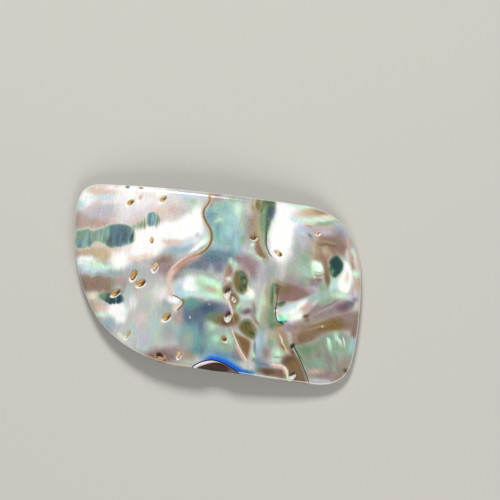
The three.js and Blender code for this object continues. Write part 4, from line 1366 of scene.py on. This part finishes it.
class NodePen:
    """Adds nodes to one tree. An input is given a number, a set of numbers or another node's output."""

    def __init__(self, tree):
        self.tree = tree

    def node(self, kind, inputs, output=0, **settings):
        """Any node, by the end of its type's name."""
        made = self.tree.nodes.new("ShaderNode" + kind)
        for name, value in settings.items():
            setattr(made, name, value)
        for key, value in inputs.items():
            if isinstance(value, bpy.types.NodeSocket):
                self.tree.links.new(value, made.inputs[key])
            else:
                made.inputs[key].default_value = value
        return made.outputs[output]

    def attribute(self, name, part=None):
        """A stored value of the mesh, or one of its three parts."""
        if part is None:
            return self.node("Attribute", {}, output="Fac", attribute_name=name)
        stored = self.node("Attribute", {}, output="Vector", attribute_name=name)
        return self.node("SeparateXYZ", {0: stored}, output=part)

    def maths(self, operation, first, second=0.0):
        """One sum, product or the like of two numbers."""
        return self.node("Math", {0: first, 1: second}, operation=operation)

    def vector(self, operation, first, second=(0, 0, 0), output=0):
        """The same for two places or two colours, part by part, or a place's length."""
        return self.node("VectorMath", {0: first, 1: second}, output=output, operation=operation)

    def scaled(self, colour, gain):
        """A colour or place times one number."""
        return self.node("VectorMath", {0: colour, "Scale": gain}, operation="SCALE")

    def fade(self, value, low, high, at_low=0.0, at_high=1.0):
        """Smoothly from at_low to at_high as the value goes from low to high, and even beyond them."""
        inputs = {"Value": value, "From Min": low, "From Max": high, "To Min": at_low, "To Max": at_high}
        return self.node("MapRange", inputs, interpolation_type="SMOOTHSTEP")

    def between(self, value, rise, fall):
        """From 0 to 1 over the rise, and back to 0 over the fall: the two fades multiplied."""
        return self.maths("MULTIPLY", self.fade(value, *rise), self.fade(value, *fall, 1.0, 0.0))

    def mix(self, under, over, share, kind="RGBA"):
        """One colour or number laid over another by a share."""
        share_at, under_at, over_at, result_at = MIX_SOCKETS[kind]
        inputs = {share_at: share, under_at: under, over_at: over}
        return self.node("Mix", inputs, output=result_at, data_type=kind)

    def banded(self, value, shades, start, step, soft):
        """Shades that follow one another as the value grows: each after the first fades in over soft, and
        begins one step after the one before it."""
        colour = opaque(shades[0])
        for number, shade in enumerate(shades[1:]):
            begins = start + step * number
            colour = self.mix(colour, opaque(shade), self.fade(value, begins, begins + soft))
        return colour

    def noise(self, where, scale=1.0, detail=2.0, roughness=0.5, output="Fac"):
        """Smooth random numbers or colours, with smaller ones added detail times, each weaker by the
        roughness."""
        inputs = {"Vector": where, "Scale": scale, "Detail": detail, "Roughness": roughness}
        return self.node("TexNoise", inputs, output=output)

    def stretched(self, where, turn, along, across):
        """Places turned back by degrees and scaled along and across, for streaks in that direction."""
        turned = self.node("Mapping", {"Vector": where, "Rotation": (0, 0, -np.radians(turn))})
        return self.vector("MULTIPLY", turned, (along, across, 1))

    def streaks(self, where, turn=0, along=1, across=1, roughness=0.6):
        """Fine streaks: noise of places stretched in one direction."""
        return self.noise(self.stretched(where, turn, along, across), detail=4.0, roughness=roughness)


nacre = bpy.data.materials.new("polished_paua_nacre")
nacre.use_nodes = True
nacre.node_tree.nodes.clear()
pen = NodePen(nacre.node_tree)

# Places on the piece in millimetres: all three parts, and those seen from above.
object_place = pen.node("TexCoord", {}, output="Object")
solid_place = pen.vector("MULTIPLY", object_place, (1 / MM, 1 / MM, 1 / MM))
flat_place = pen.vector("MULTIPLY", object_place, (1 / MM, 1 / MM, 0))
flat_x = pen.node("SeparateXYZ", {0: flat_place}, output="X")
flat_y = pen.node("SeparateXYZ", {0: flat_place}, output="Y")

LINE_FADE = 0.04  # half the share of a mark's length over which a line on it begins and ends
colour = pen.node("Attribute", {}, output="Vector", attribute_name="flushed_colour")
for mark, name, half_width, soft, offset, first, last in LINES:
    distance, share = pen.attribute(mark, "X"), pen.attribute(mark, "Y")
    off = pen.maths("ABSOLUTE", pen.maths("SUBTRACT", distance, offset))
    strength = pen.fade(off, half_width * (1 - soft), half_width * (1 + soft), 1.0, 0.0)
    if first > 0:
        shown = pen.fade(share, first - LINE_FADE, first + LINE_FADE)
        strength = pen.maths("MULTIPLY", strength, shown)
    if last < 1:
        shown = pen.fade(share, last - LINE_FADE, last + LINE_FADE, 1.0, 0.0)
        strength = pen.maths("MULTIPLY", strength, shown)
    colour = pen.mix(colour, opaque(COLOURS[name]), strength)

# Blue flash along the scoop's brow: azure further up, and royal close to the edge.
BLUES = [  # colour, distances out of the brow over which it comes in, x over which it ends, how strong
    ("azure", (-1.5, -0.6), (8.2, 10.2), 0.85),
    ("royal", (-0.85, -0.25), (6.6, 8.2), 1.0),
]
out_of_brow = pen.attribute("out_of_brow")
blue_start = pen.fade(flat_x, -1.2, 1.0)
wider = pen.maths("ADD", out_of_brow, pen.fade(flat_x, 1.0, 5.0, 0.0, 0.2))
for name, rise, end, most in BLUES:
    blue = pen.maths("MULTIPLY", pen.fade(wider, *rise), pen.fade(flat_x, *end, 1.0, 0.0))
    share = pen.maths("MULTIPLY", pen.maths("MULTIPLY", blue, blue_start), most)
    colour = pen.mix(colour, opaque(COLOURS[name]), share)

# Fine growth streaks: upright on the left, leaning with the flow in the middle, arched round the upper
# right corner, and slanting on the lower right.
ARCH_CENTRE = (13.0, -1.0, 0)
STREAK_GAINS = (0.91, 1.09)
left_streaks = pen.streaks(flat_place, 0, 4.5, 0.18, roughness=0.65)
flow_bend = pen.maths("MULTIPLY", pen.noise(flat_place, 0.16), 5.0)
bent_place = pen.vector("ADD", flat_place, pen.node("CombineXYZ", {"X": flow_bend}))
middle_streaks = pen.streaks(bent_place, 104, 0.2, 2.4)
slant_streaks = pen.streaks(bent_place, -62, 0.16, 2.6)
from_arch_centre = pen.vector("LENGTH", pen.vector("SUBTRACT", flat_place, ARCH_CENTRE), output="Value")
arch_place = pen.node("CombineXYZ", {"X": from_arch_centre, "Y": pen.maths("MULTIPLY", flat_x, 0.08)})
arch_streaks = pen.streaks(arch_place, 0, 2.6, 1)
right_streaks = pen.mix(slant_streaks, arch_streaks, pen.fade(flat_y, -4.0, 1.0), kind="FLOAT")
on_left = pen.fade(flat_x, *LEFT_THIRD, 1.0, 0.15)
streaks = pen.mix(middle_streaks, left_streaks, on_left, kind="FLOAT")
streaks = pen.mix(streaks, right_streaks, pen.fade(flat_x, 12.0, 16.0), kind="FLOAT")
colour = pen.scaled(colour, pen.fade(streaks, 0.25, 0.75, *STREAK_GAINS))

# Fine marbling: small soft flecks along the flow, each a little more mint, rose or blue than its ground.
WHITE = (1.0, 1.0, 1.0)
GREY = (0.5, 0.5, 0.5)
FLECK_STRENGTH = 0.5
fleck_place = pen.stretched(bent_place, 98, 0.55, 1.3)
flecks = pen.noise(fleck_place, detail=5.0, roughness=0.65, output="Color")
flecks = pen.scaled(pen.vector("SUBTRACT", flecks, GREY), FLECK_STRENGTH)
fleck_gain = pen.vector("ADD", flecks, WHITE)
colour = pen.vector("MINIMUM", pen.vector("MULTIPLY", colour, fleck_gain), WHITE)

# Rim and sides: the ground edges of the layers, as thin bands that lie level with the crown.
LAYERS = [
    (0.42, 0.33, 0.24),
    (0.70, 0.66, 0.55),
    (0.40, 0.47, 0.43),
    (0.84, 0.80, 0.72),
    (0.34, 0.26, 0.20),
]
CROWN_SHARE_AT_SIDE = 0.35  # of the crown's own colour that still shows on the sides
below_crown = pen.attribute("below_crown")
layer_drift = pen.maths("MULTIPLY", pen.noise(solid_place, 0.25), 0.9)
layer_place = pen.node("CombineXYZ", {"X": pen.maths("ADD", below_crown, layer_drift)})
layer_noise = pen.noise(pen.vector("MULTIPLY", layer_place, (6.5, 1, 1)), detail=3.0, roughness=0.7)
layer_colour = pen.banded(layer_noise, LAYERS, 0.34, 0.09, 0.06)
edge_colour = pen.mix(layer_colour, colour, CROWN_SHARE_AT_SIDE)
colour = pen.mix(colour, edge_colour, pen.fade(below_crown, 0.7, 1.2))

# A painted highlight runs round the turn of the rim as a pale gleam, and is warm along the brown stretch at
# the lower left.
PALE_GLEAM = (1.0, 0.98, 0.95)
WARM_GLEAM = (1.0, 0.84, 0.62)
GLEAM_STRENGTH = 0.6
gleam = pen.fade(below_crown, 0.5, 0.75, GLEAM_STRENGTH, 0.0)
gleam = pen.maths("MULTIPLY", pen.fade(below_crown, 0.3, 0.45), gleam)
by_brown_edge = pen.between(flat_x, (-13.0, -9.0), (-4.0, -1.5))
by_brown_edge = pen.maths("MULTIPLY", by_brown_edge, pen.fade(flat_y, -13.5, -11.5, 1.0, 0.0))
gleam_colour = pen.mix(opaque(PALE_GLEAM), opaque(WARM_GLEAM), by_brown_edge)
colour = pen.mix(colour, gleam_colour, gleam)

# Scoop wall: a painted shadow line at the brow, a pearly flash under it that is a painted reflection, then
# bare brown horny layers, darkened further out by painted shade, with a painted gleam on the right.
PEARLY_REFLECTION = (1.0, 0.97, 1.0)
HORNY_BROWN = (0.26, 0.13, 0.08)
SHADED_BROWN = (0.12, 0.07, 0.05)
DULL_GLEAM = (0.62, 0.58, 0.54)
brow_ends = pen.between(flat_x, (-2.6, -2.2), (6.2, 6.6))
# The pearly flash is a painted reflection, wide on the left and narrow on the right.
flash_end = pen.fade(flat_x, -0.5, 3.2, 0.6, 0.12)
beyond_flash = pen.fade(pen.maths("SUBTRACT", out_of_brow, flash_end), -0.15, 0.15)
wall = pen.mix(opaque(PEARLY_REFLECTION), opaque(HORNY_BROWN), beyond_flash)
# Painted shade: the wall darkens further out of the brow.
wall = pen.mix(wall, opaque(SHADED_BROWN), pen.fade(out_of_brow, 0.8, 1.5))
# Painted highlights: a dull grey gleam on the right part of the wall.
low_gleam = pen.maths("MULTIPLY", pen.fade(flat_x, 3.4, 5.6), pen.fade(out_of_brow, 0.2, 0.4))
low_gleam = pen.maths("MULTIPLY", low_gleam, pen.fade(streaks, 0.45, 0.6))
wall = pen.mix(wall, opaque(DULL_GLEAM), low_gleam)
# Painted shadow: a near-black line just outside the brow's crisp edge.
wall = pen.mix(opaque(COLOURS["near_black"]), wall, pen.fade(out_of_brow, 0.1, 0.18))
colour = pen.mix(colour, wall, pen.maths("MULTIPLY", brow_ends, pen.fade(out_of_brow, -0.1, -0.04)))

# Underside: the same layers cut level, as long flowing bands of silver, blue, teal, mint and rose.
BANDS = [
    (0.45, 0.52, 0.60),
    (0.55, 0.70, 0.73),
    (0.66, 0.79, 0.74),
    (0.82, 0.84, 0.82),
    (0.80, 0.74, 0.72),
    (0.68, 0.64, 0.66),
    (0.60, 0.71, 0.66),
]
BAND_BEND = 9.0  # how far the bands wander, in millimetres
under_bend = pen.vector("SUBTRACT", pen.noise(solid_place, 0.09, output="Color"), GREY)
under_place = pen.vector("ADD", solid_place, pen.scaled(under_bend, BAND_BEND))
flow = pen.noise(pen.stretched(under_place, -24, 0.022, 0.12), detail=3.0, roughness=0.45)
under_colour = pen.vector("MULTIPLY", pen.banded(flow, BANDS, 0.28, 0.07, 0.1), fleck_gain)
colour = pen.mix(colour, under_colour, pen.attribute("underside"))

# The polish: a patchy gloss under a thin clear shine, duller from the rim down, over layers a little
# see-through, with relief of a few thousandths of a millimetre along the streaks.
CROWN_ROUGHNESS = (0.2, 0.36)
SIDE_ROUGHNESS = 0.5
RELIEF = 0.005
grain = pen.noise(solid_place, 2.6, detail=3.0)
crown_gloss = pen.fade(grain, 0.3, 0.7, *CROWN_ROUGHNESS)
bumps = pen.maths("ADD", streaks, pen.maths("MULTIPLY", grain, 0.5))
polish = {
    "Base Color": colour,
    "Roughness": pen.mix(crown_gloss, SIDE_ROUGHNESS, pen.fade(below_crown, 0.1, 0.7), kind="FLOAT"),
    "Normal": pen.node("Bump", {"Height": bumps, "Distance": RELIEF * MM, "Strength": 1.0}),
    "Coat Weight": 0.25,
    "Coat Roughness": 0.08,
    "Subsurface Weight": 0.12,
    "Subsurface Radius": (1.0, 0.75, 0.45),
    "Subsurface Scale": 1.0 * MM,
}
gloss = pen.node("BsdfPrincipled", polish)
output = pen.tree.nodes.new("ShaderNodeOutputMaterial")
pen.tree.links.new(gloss, output.inputs["Surface"])
shell_mesh.materials.append(nacre)

# The floor.
# A plain pale sheet of card that the piece lies on.

FLOOR_HALF = 400
CARD_COLOUR = (0.78, 0.77, 0.75)
floor_corners = np.array([(-1, -1, 0), (1, -1, 0), (1, 1, 0), (-1, 1, 0)]) * FLOOR_HALF * MM
floor_mesh = bpy.data.meshes.new("floor")
floor_mesh.from_pydata(floor_corners.tolist(), [], [(0, 1, 2, 3)])
floor = bpy.data.objects.new("floor", floor_mesh)
bpy.context.scene.collection.objects.link(floor)
card = bpy.data.materials.new("pale_card")
card.use_nodes = True
card_surface = card.node_tree.nodes["Principled BSDF"]
card_surface.inputs["Base Color"].default_value = opaque(CARD_COLOUR)
card_surface.inputs["Roughness"].default_value = 0.9
floor_mesh.materials.append(card)

# The camera.
# It looks steeply down from a little right of the front, at the photograph's angle and framing.

CAMERA_TURN = 6.0
CAMERA_LIFT = 78.0
CAMERA_DISTANCE = 365
CAMERA_AIM = (5.6, 6.35, 3.4)
PICTURE_PIXELS = 500
PIXEL_SIZE = 0.175  # millimetres at the piece
SENSOR_WIDTH = 36


def look_from(placed, turn, lift, distance, aim=(0, 0, 0)):
    """Puts a camera or a lamp in the scene, at a distance in the direction (sin turn cos lift, -cos turn
    cos lift, sin lift) from what it looks at, with turn and lift in degrees."""
    turn, lift = np.radians(turn), np.radians(lift)
    away = np.array([np.sin(turn) * np.cos(lift), -np.cos(turn) * np.cos(lift), np.sin(lift)])
    placed.location = (np.array(aim) + away * distance) * MM
    placed.rotation_euler = (np.pi / 2 - lift, 0, turn)
    bpy.context.scene.collection.objects.link(placed)


camera_data = bpy.data.cameras.new("camera")
camera_data.sensor_width = SENSOR_WIDTH
camera_data.lens = SENSOR_WIDTH * CAMERA_DISTANCE / (PICTURE_PIXELS * PIXEL_SIZE)
camera_data.clip_start = 10 * MM
camera = bpy.data.objects.new("camera", camera_data)
look_from(camera, CAMERA_TURN, CAMERA_LIFT, CAMERA_DISTANCE, CAMERA_AIM)
bpy.context.scene.camera = camera

# The light.
# A soft square lamp high up behind the piece and a little to the left, a wide weak one low in front of
# it, and an even pale room.

LAMP_COLOUR = (1.0, 0.985, 0.95)
LAMP_DISTANCE = 600
ROOM_COLOUR = (0.95, 0.98, 1.0, 1)
ROOM_STRENGTH = 0.2


def lamp(name, turn, lift, size, watts, in_gloss=True):
    """A square lamp that looks at the piece, and that may be left out of the reflections."""
    data = bpy.data.lights.new(name, "AREA")
    data.size = size * MM
    data.energy = watts
    data.color = LAMP_COLOUR
    placed = bpy.data.objects.new(name, data)
    placed.visible_glossy = in_gloss
    look_from(placed, turn, lift, LAMP_DISTANCE)


lamp("window_lamp", turn=195, lift=48, size=160, watts=2.8)
lamp("fill_lamp", turn=25, lift=32, size=300, watts=2.2, in_gloss=False)
room = bpy.data.worlds.new("pale_room")
room.use_nodes = True
room_light = room.node_tree.nodes["Background"]
room_light.inputs["Color"].default_value = ROOM_COLOUR
room_light.inputs["Strength"].default_value = ROOM_STRENGTH
bpy.context.scene.world = room
bpy.context.scene.view_settings.view_transform = "Standard"
